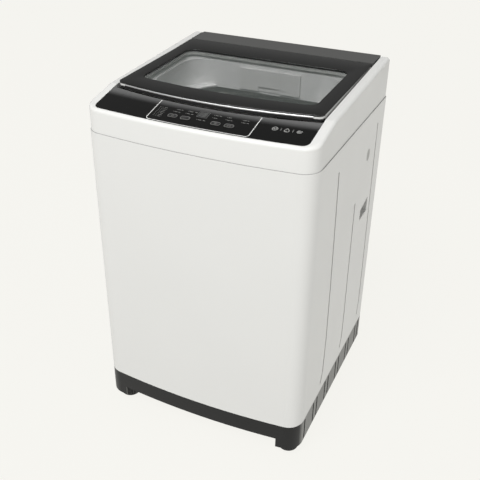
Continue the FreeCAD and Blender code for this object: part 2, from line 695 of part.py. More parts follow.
def make_tray():
    """Inner moulding: deck under the lid, throat down to the basket and a skirt in the cover."""
    field = block(-HALF, HALF, TRAY_FRONT_Y, REAR_Y, 0, LID_TOP + 60)
    room = opening.prism(SEAM_Z + 1, LID_TOP + 60, FIT).common(field)
    deck_slab = room.common(tilted(block(-HALF, HALF, FRONT_Y, REAR_Y + 40, DECK_BOTTOM, DECK_TOP)))
    inner = opening.prism(0, LID_TOP + 60, FIT + WALL)
    inner = inner.common(block(-HALF, HALF, TRAY_FRONT_Y + WALL, REAR_Y, 0, LID_TOP + 61))
    skirt = room.cut(inner).cut(above_deck())
    throat_wall = throat.ring(THROAT_BOTTOM, LID_TOP + 50, -WALL, 0).cut(above_deck())
    floor = throat.prism(THROAT_BOTTOM, THROAT_BOTTOM + WALL).cut(
        upright(BALANCE_HOLE_R, THROAT_BOTTOM - 1, THROAT_BOTTOM + WALL + 1))
    tray = fuse(deck_slab, skirt, throat_wall).cut(throat.prism(THROAT_BOTTOM - 1, LID_TOP + 60))
    tray = fuse(tray, floor)
    mouth = block(DRAWER_X - DRAWER_WIDE / 2 - FIT, DRAWER_X + DRAWER_WIDE / 2 + FIT,
                  THROAT_BACK_Y - 1, THROAT_BACK_Y + WALL + 1,
                  DRAWER_TOP - DRAWER_TALL - FIT, DRAWER_TOP + FIT)
    port_half = PORT_CUP_HALF + FIT
    port_rise = PORT_CUP_RISE + FIT
    port = block(PORT_X - port_half, PORT_X + port_half, REAR_Y - 20, REAR_Y + 5,
                 PORT_Z - port_rise, PORT_Z + port_rise)
    tray = tray.cut(mouth).cut(port)
    return fuse(tray, *hinge_brackets())


def make_rear_panel():
    """Dark panel behind the lid, flush with it, with a lip down the back and two feet."""
    front = HINGE_Y + LID_BACK_REACH + SEAM_GAP
    top = block(-LID_HALF, LID_HALF, front, REAR_Y + 20, LID_TOP - WALL, LID_TOP)
    top = top.fuse(block(-LID_HALF, LID_HALF, front, front + WALL, DECK_TOP, LID_TOP - WALL))
    top = top.fuse(block(-LID_HALF, LID_HALF, opening_back - 12, opening_back - 9, DECK_TOP, LID_TOP - WALL))
    shell = tilted(top)
    lip = block(-LID_HALF, LID_HALF, REAR_Y - WALL, REAR_Y, REAR_LIP_Z + FIT, lid_height(REAR_Y))
    inside = tilted(block(-HALF, HALF, front, REAR_Y + 40, LID_TOP, LID_TOP + 40))
    shell = fuse(shell.cut(block(-HALF, HALF, REAR_Y, REAR_Y + 60, 0, LID_TOP + 60)), lip)
    return shell.cut(inside).removeSplitter()


parts["top_cover"] = make_top_cover()
parts["tray"] = make_tray()
parts["rear_panel"] = make_rear_panel()


# ---- control panel ----
def panel_tilt(shape, x, inward):
    """Set a small part drawn at the origin onto the panel's slope at a place on it."""
    placed = shape.copy()
    placed.rotate(V(0, 0, 0), V(1, 0, 0), math.degrees(math.atan(PANEL_SLOPE)))
    bow_back = x * x / (2 * BOW_R)
    placed.translate(V(x, FRONT_Y + inward + bow_back, panel_height(inward)))
    return placed


def soft_block(long, wide, corner, z0, z1):
    """Block at the origin with round upright corners."""
    shape = block(-long / 2, long / 2, -wide / 2, wide / 2, z0, z1)
    upright_edges = [e for e in shape.Edges if abs(e.Vertexes[0].Z - e.Vertexes[-1].Z) > 0.9 * (z1 - z0)]
    return shape.makeFillet(corner, upright_edges)


def make_fascia():
    """Gloss black control panel swept round the bow, curling up to the slot before the lid."""
    slab = above_panel(FASCIA_THICK).cut(above_panel())
    lid_bow = Outline(HALF + 10, FASCIA_BACK_Y, REAR_Y, LID_BOW_R + FINGER_GAP, 1.0, 1.0)
    fascia = slab.common(opening.prism(0, LID_TOP + 60, FIT)).cut(lid_bow.prism(0, LID_TOP + 60))
    for x, in_key in key_places():
        hole = soft_block(KEY_LONG + 2 * KEY_GAP, KEY_WIDE + 2 * KEY_GAP, KEY_CORNER + KEY_GAP, -12, 12)
        fascia = fascia.cut(panel_tilt(hole, x, in_key))
    pocket = soft_block(DISPLAY_LONG + 2 * KEY_GAP, DISPLAY_WIDE + 2 * KEY_GAP, 1.5, -12, 12)
    fascia = fascia.cut(panel_tilt(pocket, DISPLAY_X, DISPLAY_IN))
    return fascia.removeSplitter()


def key_places():
    """Each key's place along the panel and its distance behind the crown."""
    return [(x, KEY_IN) for x in KEY_XS]


def make_key(x, inward):
    """Key cap with a flange under the panel that keeps it in."""
    cap = soft_block(KEY_LONG, KEY_WIDE, KEY_CORNER, -FASCIA_THICK - 1.5, 0.7)
    flange = soft_block(KEY_LONG + 3, KEY_WIDE + 3, KEY_CORNER, -FASCIA_THICK - 3.0, -FASCIA_THICK - 1.2)
    return panel_tilt(fuse(cap, flange), x, inward)


parts["control_panel"] = make_fascia()
for name, (x, inward) in zip(KEY_NAMES, key_places()):
    parts["key_" + name] = make_key(x, inward)
parts["display_window"] = panel_tilt(soft_block(DISPLAY_LONG, DISPLAY_WIDE, 1.2, 0.6 - FASCIA_THICK, 0.0),
                                     DISPLAY_X, DISPLAY_IN)


def make_panel_carrier():
    """White carrier under the panel: ledge round the edge and a floor that holds the board."""
    field = block(-HALF, HALF, FRONT_Y, TRAY_FRONT_Y - FIT, 0, LID_TOP + 60)
    under = opening.prism(SEAM_Z + 1, LID_TOP + 60, FIT).cut(above_panel(FASCIA_THICK)).common(field)
    hollow = opening.prism(SEAM_Z + 1 + WALL, LID_TOP + 61, FIT + WALL).common(
        block(-HALF, HALF, FRONT_Y, TRAY_FRONT_Y - FIT - WALL, 0, LID_TOP + 61))
    return under.cut(hollow).removeSplitter()


def make_control_board():
    """Sealed electronics box below the keys."""
    z0 = SEAM_Z + 1 + WALL
    box = block(-130, 130, FRONT_Y + 26, TRAY_FRONT_Y - FIT - WALL - 4, z0, z0 + 34)
    return box.makeFillet(4, [e for e in box.Edges if abs(e.Vertexes[0].Z - e.Vertexes[-1].Z) > 30])


parts["panel_carrier"] = make_panel_carrier()
parts["control_board"] = make_control_board()


# ---- lid ----
def make_lid_bezel():
    """Dark plate of the lid with the window in it, drawn level and leant to the slope."""
    plate = lid_outline.prism(LID_TOP - BEZEL_THICK, LID_TOP)
    return tilted(plate.cut(window.prism(LID_TOP - BEZEL_THICK - 1, LID_TOP + 1)))


def make_lid_glass():
    """Toughened pane under the bezel, lapping the window all round."""
    top = LID_TOP - BEZEL_THICK
    return tilted(window.prism(top - GLASS_THICK, top, -GLASS_LAP))


def make_lid_underframe():
    """White frame under the bezel: pocket for the pane, front lip and two hinge knuckles."""
    top = LID_TOP - BEZEL_THICK
    low = LID_TOP - UNDERFRAME_DEEP
    frame = lid_outline.prism(low, top, 0.8)
    frame = frame.cut(block(-HALF, HALF, HINGE_Y - 2, HINGE_Y + 20, low - 1, top + 1))
    frame = frame.cut(window.prism(low - 1, top + 1, -3))
    frame = frame.cut(window.prism(top - GLASS_THICK, top + 1, -GLASS_LAP - 0.2))
    frame = frame.cut(trim_band(0.2))
    for side in (-1, 1):
        inner_x = side * KNUCKLE_X0
        outer_x = side * KNUCKLE_X1
        knuckle = rod(KNUCKLE_R, V(inner_x, HINGE_Y, HINGE_Z), V(outer_x, HINGE_Y, HINGE_Z))
        web = block(min(inner_x, outer_x), max(inner_x, outer_x), HINGE_Y - 6, HINGE_Y,
                    HINGE_Z - 2.6, HINGE_Z + 1)
        frame = frame.fuse(knuckle).fuse(web)
        notch = block(min(outer_x + side * 0.6, side * HALF), max(outer_x + side * 0.6, side * HALF),
                      HINGE_Y - 6.5, HINGE_Y + 20, low - 1, top + 1)
        frame = frame.cut(notch)
        frame = frame.cut(rod(HINGE_PIN_R, V(inner_x - side, HINGE_Y, HINGE_Z),
                              V(outer_x + side * 30, HINGE_Y, HINGE_Z)))
    return tilted(frame)


def trim_band(loose=0.0):
    """Silver strip along the lid's front lip, drawn level."""
    top = LID_TOP - BEZEL_THICK - 1.0 + loose
    band = lid_outline.ring(top - TRIM_TALL - 2 * loose, top, -0.2, 2.6 + loose)
    reach = TRIM_HALF + loose
    return band.common(block(-reach, reach, FRONT_Y, LID_FRONT_Y + 40, 0, LID_TOP))


def make_hinge_pins():
    """Steel pins pressed into the lid's knuckles, their outer ends turning in the brackets."""
    pins = []
    for side in (-1, 1):
        start = V(side * (KNUCKLE_X0 + 2), HINGE_Y, HINGE_Z)
        pins.append(rod(HINGE_PIN_R, start, V(side * BRACKET_X1, HINGE_Y, HINGE_Z)))
    return group(pins)


def make_lid_buffers():
    """Rubber pads on the deck that the shut lid comes down to."""
    low = DECK_TOP
    high = LID_TOP - UNDERFRAME_DEEP - 0.2
    pads = []
    for x, y in ((-226, -120), (226, -120), (-226, 150), (226, 150)):
        pads.append(tilted(upright(6, low, high, x, y)))
    return group(pads)


def make_lid_lock():
    """Lid lock housing on the deck at the front right, with a slot for its bolt."""
    low = DECK_TOP
    high = LID_TOP - UNDERFRAME_DEEP - 0.8
    case = block(150, 200, -168, -148, low, high)
    slot = block(168, 182, -162, -154, high - 1.6, high + 1)
    return tilted(case.cut(slot))


parts["lid_bezel"] = make_lid_bezel()
parts["lid_glass"] = make_lid_glass()
parts["lid_underframe"] = make_lid_underframe()
parts["lid_trim"] = tilted(trim_band())
parts["lid_hinge_pins"] = make_hinge_pins()
parts["lid_buffers"] = make_lid_buffers()
parts["lid_lock"] = make_lid_lock()


# ---- detergent drawer and water inlet ----
def make_drawer_housing():
    """Open-fronted housing behind the throat's back wall, with a duct from the water valve."""
    x0 = DRAWER_X - DRAWER_WIDE / 2 - FIT
    x1 = DRAWER_X + DRAWER_WIDE / 2 + FIT
    y0 = THROAT_BACK_Y + WALL
    z0 = DRAWER_TOP - DRAWER_TALL - FIT
    z1 = DRAWER_TOP + FIT
    outer = block(x0 - 2.5, x1 + 2.5, y0, y0 + DRAWER_LONG + 8, z0 - 2.5, z1 + 2.5)
    inner = block(x0, x1, y0 - 1, y0 + DRAWER_LONG + 5.5, z0, z1)
    duct_y = REAR_Y - COVER_INSET - CUP_DEEP - 28
    duct = rod(8, V(PORT_X + 32, duct_y, PORT_Z), V(x0 - 1, duct_y, PORT_Z))
    duct_bore = rod(5.5, V(PORT_X + 31, duct_y, PORT_Z), V(x0 + 1, duct_y, PORT_Z))
    return fuse(outer.cut(inner), duct).cut(duct_bore)


def make_drawer():
    """Detergent drawer: tray with a dividing wall and a front plate with a pull recess."""
    x0 = DRAWER_X - DRAWER_WIDE / 2
    x1 = DRAWER_X + DRAWER_WIDE / 2
    y0 = THROAT_BACK_Y - 6
    z0 = DRAWER_TOP - DRAWER_TALL
    front = block(x0 - 6, x1 + 6, y0, THROAT_BACK_Y - FIT, z0 - 5, DRAWER_TOP + 2.5)
    tub = block(x0, x1, THROAT_BACK_Y - FIT, THROAT_BACK_Y + DRAWER_LONG, z0, DRAWER_TOP - 3)
    left = block(x0 + 2.2, DRAWER_X - 1, THROAT_BACK_Y + 2, THROAT_BACK_Y + DRAWER_LONG - 2.2, z0 + 2.2, DRAWER_TOP)
    right = block(DRAWER_X + 1, x1 - 2.2, THROAT_BACK_Y + 2, THROAT_BACK_Y + DRAWER_LONG - 2.2,
                  z0 + 2.2, DRAWER_TOP)
    pull = block(DRAWER_X - 28, DRAWER_X + 28, y0 - 1, y0 + 3.4, z0 - 6, z0 + 7)
    return fuse(front, tub).cut(left).cut(right).cut(pull).removeSplitter()


def make_inlet_valve():
    """Water valve: threaded port to the rear, body, solenoid and outlet."""
    wall_y = REAR_Y - COVER_INSET - CUP_DEEP
    port = rod(PORT_R, V(PORT_X, wall_y - 4, PORT_Z), V(PORT_X, wall_y + PORT_LONG, PORT_Z))
    bore = rod(8.5, V(PORT_X, wall_y + 4, PORT_Z), V(PORT_X, wall_y + PORT_LONG + 1, PORT_Z))
    flange = rod(19, V(PORT_X, wall_y - 4, PORT_Z), V(PORT_X, wall_y, PORT_Z))
    collar = rod(PORT_COLLAR_R, V(PORT_X, wall_y, PORT_Z), V(PORT_X, wall_y + 2.5, PORT_Z))
    chest = rod(14, V(PORT_X, wall_y - 40, PORT_Z), V(PORT_X, wall_y - 4, PORT_Z))
    coil = block(PORT_X - 13, PORT_X + 13, wall_y - 40, wall_y - 14, PORT_Z - 30, PORT_Z)
    outlet = rod(6, V(PORT_X, wall_y - 28, PORT_Z), V(PORT_X + 32, wall_y - 28, PORT_Z))
    return fuse(port, flange, collar, chest, coil, outlet).cut(bore)


parts["drawer_housing"] = make_drawer_housing()
parts["detergent_drawer"] = make_drawer()
parts["inlet_valve"] = make_inlet_valve()


# ---- tub group ----
def make_tub():
    """Outer tub with four ears that ride on the springs and a boss for the gearbox."""
    shell = turned([(0, TUB_BOTTOM), (TUB_R - 26, TUB_BOTTOM), (TUB_R, TUB_BOTTOM + 26), (TUB_R, TUB_TOP),
                    (TUB_R - WALL, TUB_TOP), (TUB_R - WALL, TUB_BOTTOM + 28), (TUB_R - 28, TUB_BOTTOM + WALL + 1),
                    (0, TUB_BOTTOM + WALL + 1)])
    bosses = []
    for x, y in rod_places():
        reach = math.hypot(x, y - TUB_Y)
        away_x = x / reach
        away_y = (y - TUB_Y) / reach
        root = V(away_x * (TUB_R - 1), TUB_Y + away_y * (TUB_R - 1), EAR_Z)
        arm = block(0, reach - TUB_R + 1, -EAR_R * 0.8, EAR_R * 0.8, 0, EAR_THICK)
        arm.rotate(V(0, 0, 0), V(0, 0, 1), math.degrees(math.atan2(away_y, away_x)))
        arm.translate(root)
        bosses.append(arm)
        bosses.append(upright(EAR_R, EAR_Z, EAR_Z + EAR_THICK, x, y))
    tub = fuse(shell, *bosses).cut(upright(TUB_R - WALL - 0.5, TUB_BOTTOM + 30, TUB_TOP + 1))
    for x, y in rod_places():
        tub = tub.cut(upright(ROD_R + 2, EAR_Z - 1, EAR_Z + EAR_THICK + 1, x, y))
    tub = tub.cut(upright(BEARING_R, TUB_BOTTOM - 1, TUB_BOTTOM + 20))
    return tub.cut(upright(DRAIN_HOLE_R, TUB_BOTTOM - 1, TUB_BOTTOM + 20, DRAIN_X, DRAIN_Y)).removeSplitter()


def make_tub_ring():
    """Ring that closes the tub's top and overhangs the basket, with a drip lip."""
    top = TUB_TOP + 8
    return turned([(TUB_R, TUB_TOP), (TUB_R, TUB_TOP + 2), (TUB_R - 6, top), (TUB_RING_HOLE_R + 4, top),
                   (TUB_RING_HOLE_R, top - 3), (TUB_RING_HOLE_R, TUB_TOP + 2), (TUB_RING_HOLE_R + 3, TUB_TOP + 2),
                   (TUB_RING_HOLE_R + 3, TUB_TOP + 5), (TUB_R - 8, TUB_TOP + 5), (TUB_R - 8, TUB_TOP)])


def make_basket():
    """Steel wash basket: rolled wall, dished floor and a central hole over the hub."""
    r = BASKET_R
    t = BASKET_SHEET
    z = BASKET_BOTTOM
    shell = turned([(HUB_R - 10, z), (r - 18, z), (r - 5, z + 5), (r, z + 18), (r, BASKET_TOP),
                    (r - t, BASKET_TOP), (r - t, z + 18 + t), (r - 5 - t, z + 5 + t), (r - 18, z + t),
                    (HUB_R - 10, z + t)])
    return shell


def make_balance_ring():
    """Liquid-filled balance ring on the basket's rim, hollow inside."""
    r = BASKET_R
    hole = BALANCE_HOLE_R
    low = BASKET_TOP - 14
    outside = turned([(hole + 6, low), (r - BASKET_SHEET, low), (r - BASKET_SHEET, BASKET_TOP),
                      (r + 4, BASKET_TOP), (r + 4, BALANCE_TOP - 5), (r - 2, BALANCE_TOP),
                      (hole + 8, BALANCE_TOP), (hole, BALANCE_TOP - 9), (hole, low + 10)])
    channel = turned([(hole + 9, low + 4), (r - 5, low + 4), (r - 5, BALANCE_TOP - 10), (hole + 9, BALANCE_TOP - 10)])
    return outside.cut(channel)


def make_basket_hub():
    """Cast flange under the basket floor with the hollow spin shaft."""
    flange = tube(HUB_R, AGITATE_SHAFT_R + TURN_GAP, BASKET_BOTTOM - 6, BASKET_BOTTOM)
    rim = tube(HUB_R - 10.2, AGITATE_SHAFT_R + TURN_GAP, BASKET_BOTTOM, BASKET_BOTTOM + 5)
    shaft = tube(SPIN_SHAFT_R, AGITATE_SHAFT_R + TURN_GAP, GEARBOX_BOTTOM + 10, BASKET_BOTTOM - 6)
    return fuse(flange, rim, shaft)


def make_pulsator():
    """Wash plate with a dished disc, a centre cap and curved paddles."""
    r = PULSATOR_R
    z = PULSATOR_Z
    disc = turned([(0, z), (r - 14, z), (r, z + 7), (r, z + 10), (r - 16, z + 5), (60, z + 9), (40, z + 24),
                   (0, z + 28)])
    vanes = []
    for turn in range(PADDLES):
        vane = across([(0, 0), (28, 0), (19, 17), (9, 17)], 34, r - 20)
        vane.translate(V(0, -14, z + 4))
        vane.rotate(V(0, 0, 0), V(0, 0, 1), 360.0 * turn / PADDLES)
        vane.translate(V(0, TUB_Y, 0))
        vanes.append(vane)
    plate = fuse(disc, *vanes)
    socket = upright(AGITATE_SHAFT_R, z - 1, z + 14)
    well = upright(9.5, z + 20, z + 60)
    screw_way = upright(4, z, z + 40)
    return plate.cut(socket).cut(well).cut(screw_way)


def make_agitate_shaft():
    """Solid shaft up the middle of the spin shaft, from the drive pulley to the pulsator."""
    shaft = upright(AGITATE_SHAFT_R, PULLEY_Z - 6, PULSATOR_Z + 14)
    return shaft.cut(upright(4, PULSATOR_Z - 6, PULSATOR_Z + 15))


def make_pulsator_screw():
    """Screw and washer that hold the pulsator on its shaft."""
    z = PULSATOR_Z
    return fuse(upright(4, z - 6, z + 20), upright(9, z + 20, z + 22), upright(6.5, z + 22, z + 26))


def make_lint_filter():
    """Lint filter cartridge clipped to the basket's wall, with its frame and grille."""
    depth = 22.0
    z0 = 420.0
    z1 = 560.0
    wall_y = TUB_Y + BASKET_R - BASKET_SHEET
    shape = block(-45, 45, wall_y - depth, wall_y + 5, z0, z1)
    shape = shape.common(upright(BASKET_R - BASKET_SHEET, z0 - 1, z1 + 1))
    for bar in range(4):
        x = -36 + bar * 19.0
        shape = shape.cut(block(x, x + 15, wall_y - depth - 1, wall_y - depth + 6, z0 + 14, z1 - 14))
    return shape


def make_tub_bearing():
    """Bearing carrier and seal in the tub's floor, round the spin shaft."""
    z = TUB_BOTTOM + WALL + 1
    return fuse(tube(BEARING_R, SPIN_SHAFT_R + TURN_GAP, BRACKET_Z + BRACKET_THICK, z),
                tube(BEARING_R + 8, SPIN_SHAFT_R + TURN_GAP, z, z + 10))


def make_drive_bracket():
    """Steel beam under the tub that carries the gearbox, motor and drain valve."""
    z = BRACKET_Z
    plate = block(-150, 190, TUB_Y - 75, TUB_Y + 75, z, z + BRACKET_THICK)
    arm = block(MOTOR_X - 72, MOTOR_X + 72, TUB_Y, MOTOR_Y + 70, z, z + BRACKET_THICK)
    ribs = [block(-150, 190, TUB_Y + y, TUB_Y + y + BRACKET_THICK, z + BRACKET_THICK, TUB_BOTTOM)
            for y in (-75, 72)]
    bracket = fuse(plate, arm, *ribs)
    bracket = bracket.cut(upright(BEARING_R, z - 1, TUB_BOTTOM + 1))
    return bracket.cut(upright(14, z - 1, z + 10, MOTOR_X, MOTOR_Y))


def make_gearbox():
    """Clutch and reduction gearbox hung under the bracket."""
    shape = turned([(0, GEARBOX_BOTTOM), (GEARBOX_R - 14, GEARBOX_BOTTOM), (GEARBOX_R, GEARBOX_BOTTOM + 10),
                    (GEARBOX_R, BRACKET_Z - 6), (GEARBOX_R + 14, BRACKET_Z - 6), (GEARBOX_R + 14, BRACKET_Z),
                    (0, BRACKET_Z)])
    shape = shape.cut(upright(AGITATE_SHAFT_R + TURN_GAP, 0, BRACKET_Z + 1))
    shape = fuse(shape, block(GEARBOX_R - 30, GEARBOX_R + 24, TUB_Y - 46, TUB_Y - 22,
                              GEARBOX_BOTTOM + 18, GEARBOX_BOTTOM + 26))
    return shape.cut(upright(SPIN_SHAFT_R + TURN_GAP, GEARBOX_BOTTOM + 9.5, BRACKET_Z + 1))


def pulley(radius, x, y, bore, flange=5.0):
    """Flat-belt pulley with a recessed web and two flanges."""
    z = PULLEY_Z
    profile = [(bore, z), (radius + flange, z), (radius + flange, z + 2), (radius, z + 2),
               (radius, z + PULLEY_TALL - 2), (radius + flange, z + PULLEY_TALL - 2),
               (radius + flange, z + PULLEY_TALL), (bore, z + PULLEY_TALL)]
    return turned(profile, x, y)


def make_drive_pulley():
    """Large pulley on the agitate shaft, with lightening holes."""
    wheel = pulley(DRIVE_PULLEY_R, 0, TUB_Y, AGITATE_SHAFT_R)
    for hole in range(6):
        angle = math.pi * hole / 3
        wheel = wheel.cut(upright(16, PULLEY_Z - 1, PULLEY_Z + 20, 48 * math.cos(angle),
                                  TUB_Y + 48 * math.sin(angle)))
    return wheel


def make_motor():
    """Induction motor under the bracket: can, end caps and fixing lugs."""
    z0 = PULLEY_Z + PULLEY_TALL + 4
    can = upright(MOTOR_R, z0 + 8, BRACKET_Z - 6, MOTOR_X, MOTOR_Y)
    low = upright(MOTOR_R - 16, z0, z0 + 8, MOTOR_X, MOTOR_Y)
    cap = upright(MOTOR_R - 10, BRACKET_Z - 6, BRACKET_Z, MOTOR_X, MOTOR_Y)
    return fuse(can, low, cap).cut(upright(MOTOR_SHAFT_R + TURN_GAP, 0, BRACKET_Z + 1, MOTOR_X, MOTOR_Y))


def make_rotor_shaft():
    """Motor shaft."""
    return upright(MOTOR_SHAFT_R, PULLEY_Z - 2, BRACKET_Z - 4, MOTOR_X, MOTOR_Y)


def make_belt():
    """Belt round both pulleys, held a little off their faces."""
    gap = 0.3
    dx = MOTOR_X
    dy = MOTOR_Y - TUB_Y
    reach = math.hypot(dx, dy)
    z0 = PULLEY_Z + 3
    z1 = PULLEY_Z + PULLEY_TALL - 3

    def loop(extra):
        big = DRIVE_PULLEY_R + gap + extra
        small = MOTOR_PULLEY_R + gap + extra
        lean = math.acos((big - small) / reach)
        heading = math.atan2(dy, dx)
        points = []
        for centre, radius, start, sweep in (((0, TUB_Y), big, heading + lean, 2 * math.pi - 2 * lean),
                                             ((MOTOR_X, MOTOR_Y), small, heading - lean, 2 * lean)):
            points.append([V(centre[0] + radius * math.cos(start + sweep * part),
                             centre[1] + radius * math.sin(start + sweep * part), z0) for part in (0, 0.5, 1)])
        around = Part.Arc(*points[0]).toShape()
        nose = Part.Arc(*points[1]).toShape()
        upper = Part.LineSegment(points[0][2], points[1][0]).toShape()
        lower = Part.LineSegment(points[1][2], points[0][0]).toShape()
        return Part.Face(Part.Wire([around, upper, nose, lower])).extrude(V(0, 0, z1 - z0))

    return loop(BELT_THICK).cut(loop(0))


def make_drain_valve():
    """Drain valve under the tub floor with its actuator."""
    body_low = 148.0
    chest = upright(26, body_low, TUB_BOTTOM, DRAIN_X, DRAIN_Y)
    neck = upright(DRAIN_HOLE_R, TUB_BOTTOM, TUB_BOTTOM + WALL + 1, DRAIN_X, DRAIN_Y)
    spout = upright(BELLOWS_R - 4, BELLOWS_TOP - 10, body_low, DRAIN_X, DRAIN_Y)
    actuator = block(DRAIN_X - 70, DRAIN_X - 20, DRAIN_Y - 14, DRAIN_Y + 14, 156, 184)
    return fuse(chest, neck, spout, actuator).cut(upright(BELLOWS_R - 7, 0, TUB_BOTTOM + 9, DRAIN_X, DRAIN_Y))


def make_drain_bellows():
    """Rubber bellows between the moving valve and the fixed drain elbow."""
    z = DRAIN_BELLOWS_Z
    count = 5
    step = (BELLOWS_TOP - z) / count
    outer = [(BELLOWS_R - 3.9, z)]
    for fold in range(count):
        outer += [(BELLOWS_R, z + step * (fold + 0.25)), (BELLOWS_R, z + step * (fold + 0.5)),
                  (BELLOWS_R - 2.2, z + step * (fold + 0.75))]
    outer += [(BELLOWS_R, BELLOWS_TOP), (BELLOWS_R - 3.9, BELLOWS_TOP)]
    return turned(outer, DRAIN_X, DRAIN_Y)


def make_drain_outlet():
    """Fixed drain elbow on the base that ends in a hose spigot at the back."""
    z = DRAIN_Z
    riser = upright(BELLOWS_R - 4, z - 8, DRAIN_BELLOWS_Z + 8, DRAIN_X, DRAIN_Y)
    root_y = REAR_Y - 1 - SPIGOT_LONG
    run = rod(SPIGOT_R - 1, V(DRAIN_X, DRAIN_Y, z), V(DRAIN_X, root_y, z))
    collar = rod(SPIGOT_R + 2, V(DRAIN_X, root_y - 3, z), V(DRAIN_X, root_y, z))
    spigot = rod(SPIGOT_R, V(DRAIN_X, root_y, z), V(DRAIN_X, REAR_Y - 1, z))
    stay = block(DRAIN_X - 12, DRAIN_X + 12, DRAIN_Y + 44, DRAIN_Y + 62, SKIRT_BOTTOM + WALL, z)
    bore = rod(SPIGOT_R - 3, V(DRAIN_X, DRAIN_Y, z), V(DRAIN_X, REAR_Y + 1, z))
    down = upright(SPIGOT_R - 3, z, DRAIN_BELLOWS_Z + 9, DRAIN_X, DRAIN_Y)
    return fuse(riser, run, collar, spigot, stay).cut(bore).cut(down)


def make_capacitor():
    """Motor capacitor in its clip on the base floor."""
    z = SKIRT_BOTTOM + WALL
    return fuse(block(-212, -168, -120, -76, z, z + 4), upright(20, z + 4, z + 70, -190, -98))


def make_pressure_sensor():
    """Water level sensor on the back wall inside."""
    y = REAR_Y - SHEET
    disc = rod(22, V(205, y - 26, 640), V(205, y - 4, 640))
    plate = block(180, 230, y - 4, y, 618, 662)
    return fuse(disc, plate)


parts["outer_tub"] = make_tub()
parts["tub_ring"] = make_tub_ring()
parts["wash_basket"] = make_basket()
parts["balance_ring"] = make_balance_ring()
parts["basket_hub"] = make_basket_hub()
parts["lint_filter"] = make_lint_filter()
parts["pulsator"] = make_pulsator()
parts["pulsator_screw"] = make_pulsator_screw()
parts["agitate_shaft"] = make_agitate_shaft()
parts["tub_bearing"] = make_tub_bearing()
parts["drive_bracket"] = make_drive_bracket()
parts["gearbox"] = make_gearbox()
parts["drive_pulley"] = make_drive_pulley()
parts["motor"] = make_motor()
parts["rotor_shaft"] = make_rotor_shaft()
parts["motor_pulley"] = pulley(MOTOR_PULLEY_R, MOTOR_X, MOTOR_Y, MOTOR_SHAFT_R, 3.0)
parts["drive_belt"] = make_belt()
parts["drain_valve"] = make_drain_valve()
parts["drain_bellows"] = make_drain_bellows()
parts["drain_outlet"] = make_drain_outlet()
parts["capacitor"] = make_capacitor()
parts["pressure_sensor"] = make_pressure_sensor()

# ---- write ----
os.makedirs("parts", exist_ok=True)
for name, shape in parts.items():
    shape.exportStep("parts/" + name + ".step")
print(len(parts), "nodes written")
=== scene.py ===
"""Looks of a top-loading washing machine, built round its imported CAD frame.

Metres, +Z up, front towards -Y, origin on the floor under the middle of the machine.
Each sub-assembly is a class that holds its sizes and builds and dresses its own pieces.
"""

import json
import logging
import math
from dataclasses import dataclass, field
from enum import Enum

import bmesh
import bpy
import numpy as np
from mathutils import Matrix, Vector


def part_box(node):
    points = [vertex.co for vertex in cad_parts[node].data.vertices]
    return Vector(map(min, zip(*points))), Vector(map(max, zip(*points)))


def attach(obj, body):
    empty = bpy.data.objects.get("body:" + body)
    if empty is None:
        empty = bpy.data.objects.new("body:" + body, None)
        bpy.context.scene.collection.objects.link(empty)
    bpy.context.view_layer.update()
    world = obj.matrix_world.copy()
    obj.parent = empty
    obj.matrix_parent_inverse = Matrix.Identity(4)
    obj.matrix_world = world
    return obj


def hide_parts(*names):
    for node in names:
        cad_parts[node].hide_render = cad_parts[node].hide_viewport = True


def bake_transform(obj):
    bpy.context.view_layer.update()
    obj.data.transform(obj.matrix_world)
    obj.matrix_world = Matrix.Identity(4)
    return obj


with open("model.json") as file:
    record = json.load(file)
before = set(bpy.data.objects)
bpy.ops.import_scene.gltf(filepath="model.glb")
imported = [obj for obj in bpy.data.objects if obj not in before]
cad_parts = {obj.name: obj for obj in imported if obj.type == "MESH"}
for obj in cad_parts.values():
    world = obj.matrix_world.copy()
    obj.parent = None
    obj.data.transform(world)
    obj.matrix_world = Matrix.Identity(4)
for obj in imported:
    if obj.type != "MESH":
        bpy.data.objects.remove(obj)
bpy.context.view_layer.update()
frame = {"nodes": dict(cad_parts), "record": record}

MM = 0.001
log = logging.getLogger("washing_machine")
NODES: dict = frame["nodes"]


# ---- colours and nodes ----
def linear(code: str) -> tuple[float, float, float, float]:
    """Turns an sRGB hex colour into linear light.

    Args:
        code: Six hex digits, such as "F5F4EF".

    Returns:
        Red, green, blue and an alpha of 1.
    """
    parts = [int(code[i:i + 2], 16) / 255 for i in (0, 2, 4)]
    light = [c / 12.92 if c <= 0.04045 else ((c + 0.055) / 1.055) ** 2.4 for c in parts]
    return (light[0], light[1], light[2], 1.0)


def add_node(tree: bpy.types.NodeTree, kind: str, inputs: dict | None = None,
             **settings: object) -> bpy.types.Node:
    """Adds one node, sets its properties, and sets or links its inputs.

    Args:
        tree: Node tree of a material or world.
        kind: Blender's name for the node type.
        inputs: Input name or number to a value, or to another node's output.
        settings: The node's own properties.

    Returns:
        The new node.
    """
    node = tree.nodes.new(kind)
    for key, value in settings.items():
        setattr(node, key, value)
    for key, value in (inputs or {}).items():
        if isinstance(value, bpy.types.NodeSocket):
            tree.links.new(value, node.inputs[key])
        else:
            node.inputs[key].default_value = value
    return node


class Lay(Enum):
    """Way a surface's fine marks run."""

    EVEN = (1.0, 1.0, 1.0)
    ACROSS = (0.04, 1.0, 1.0)
    UPRIGHT = (1.0, 1.0, 0.04)


@dataclass
class Recipe:
    """A material in the making: its node tree, its coordinates node and its Principled shader."""

    tree: bpy.types.NodeTree
    place: bpy.types.Node
    shader: bpy.types.Node

    def add(self, kind: str, inputs: dict, **settings: object) -> bpy.types.Node:
        """Adds one node to the tree."""
        return add_node(self.tree, kind, inputs, **settings)

    def feed(self, output: bpy.types.NodeSocket, name: str) -> None:
        """Links an output to the shader's input of that name."""
        self.tree.links.new(output, self.shader.inputs[name])


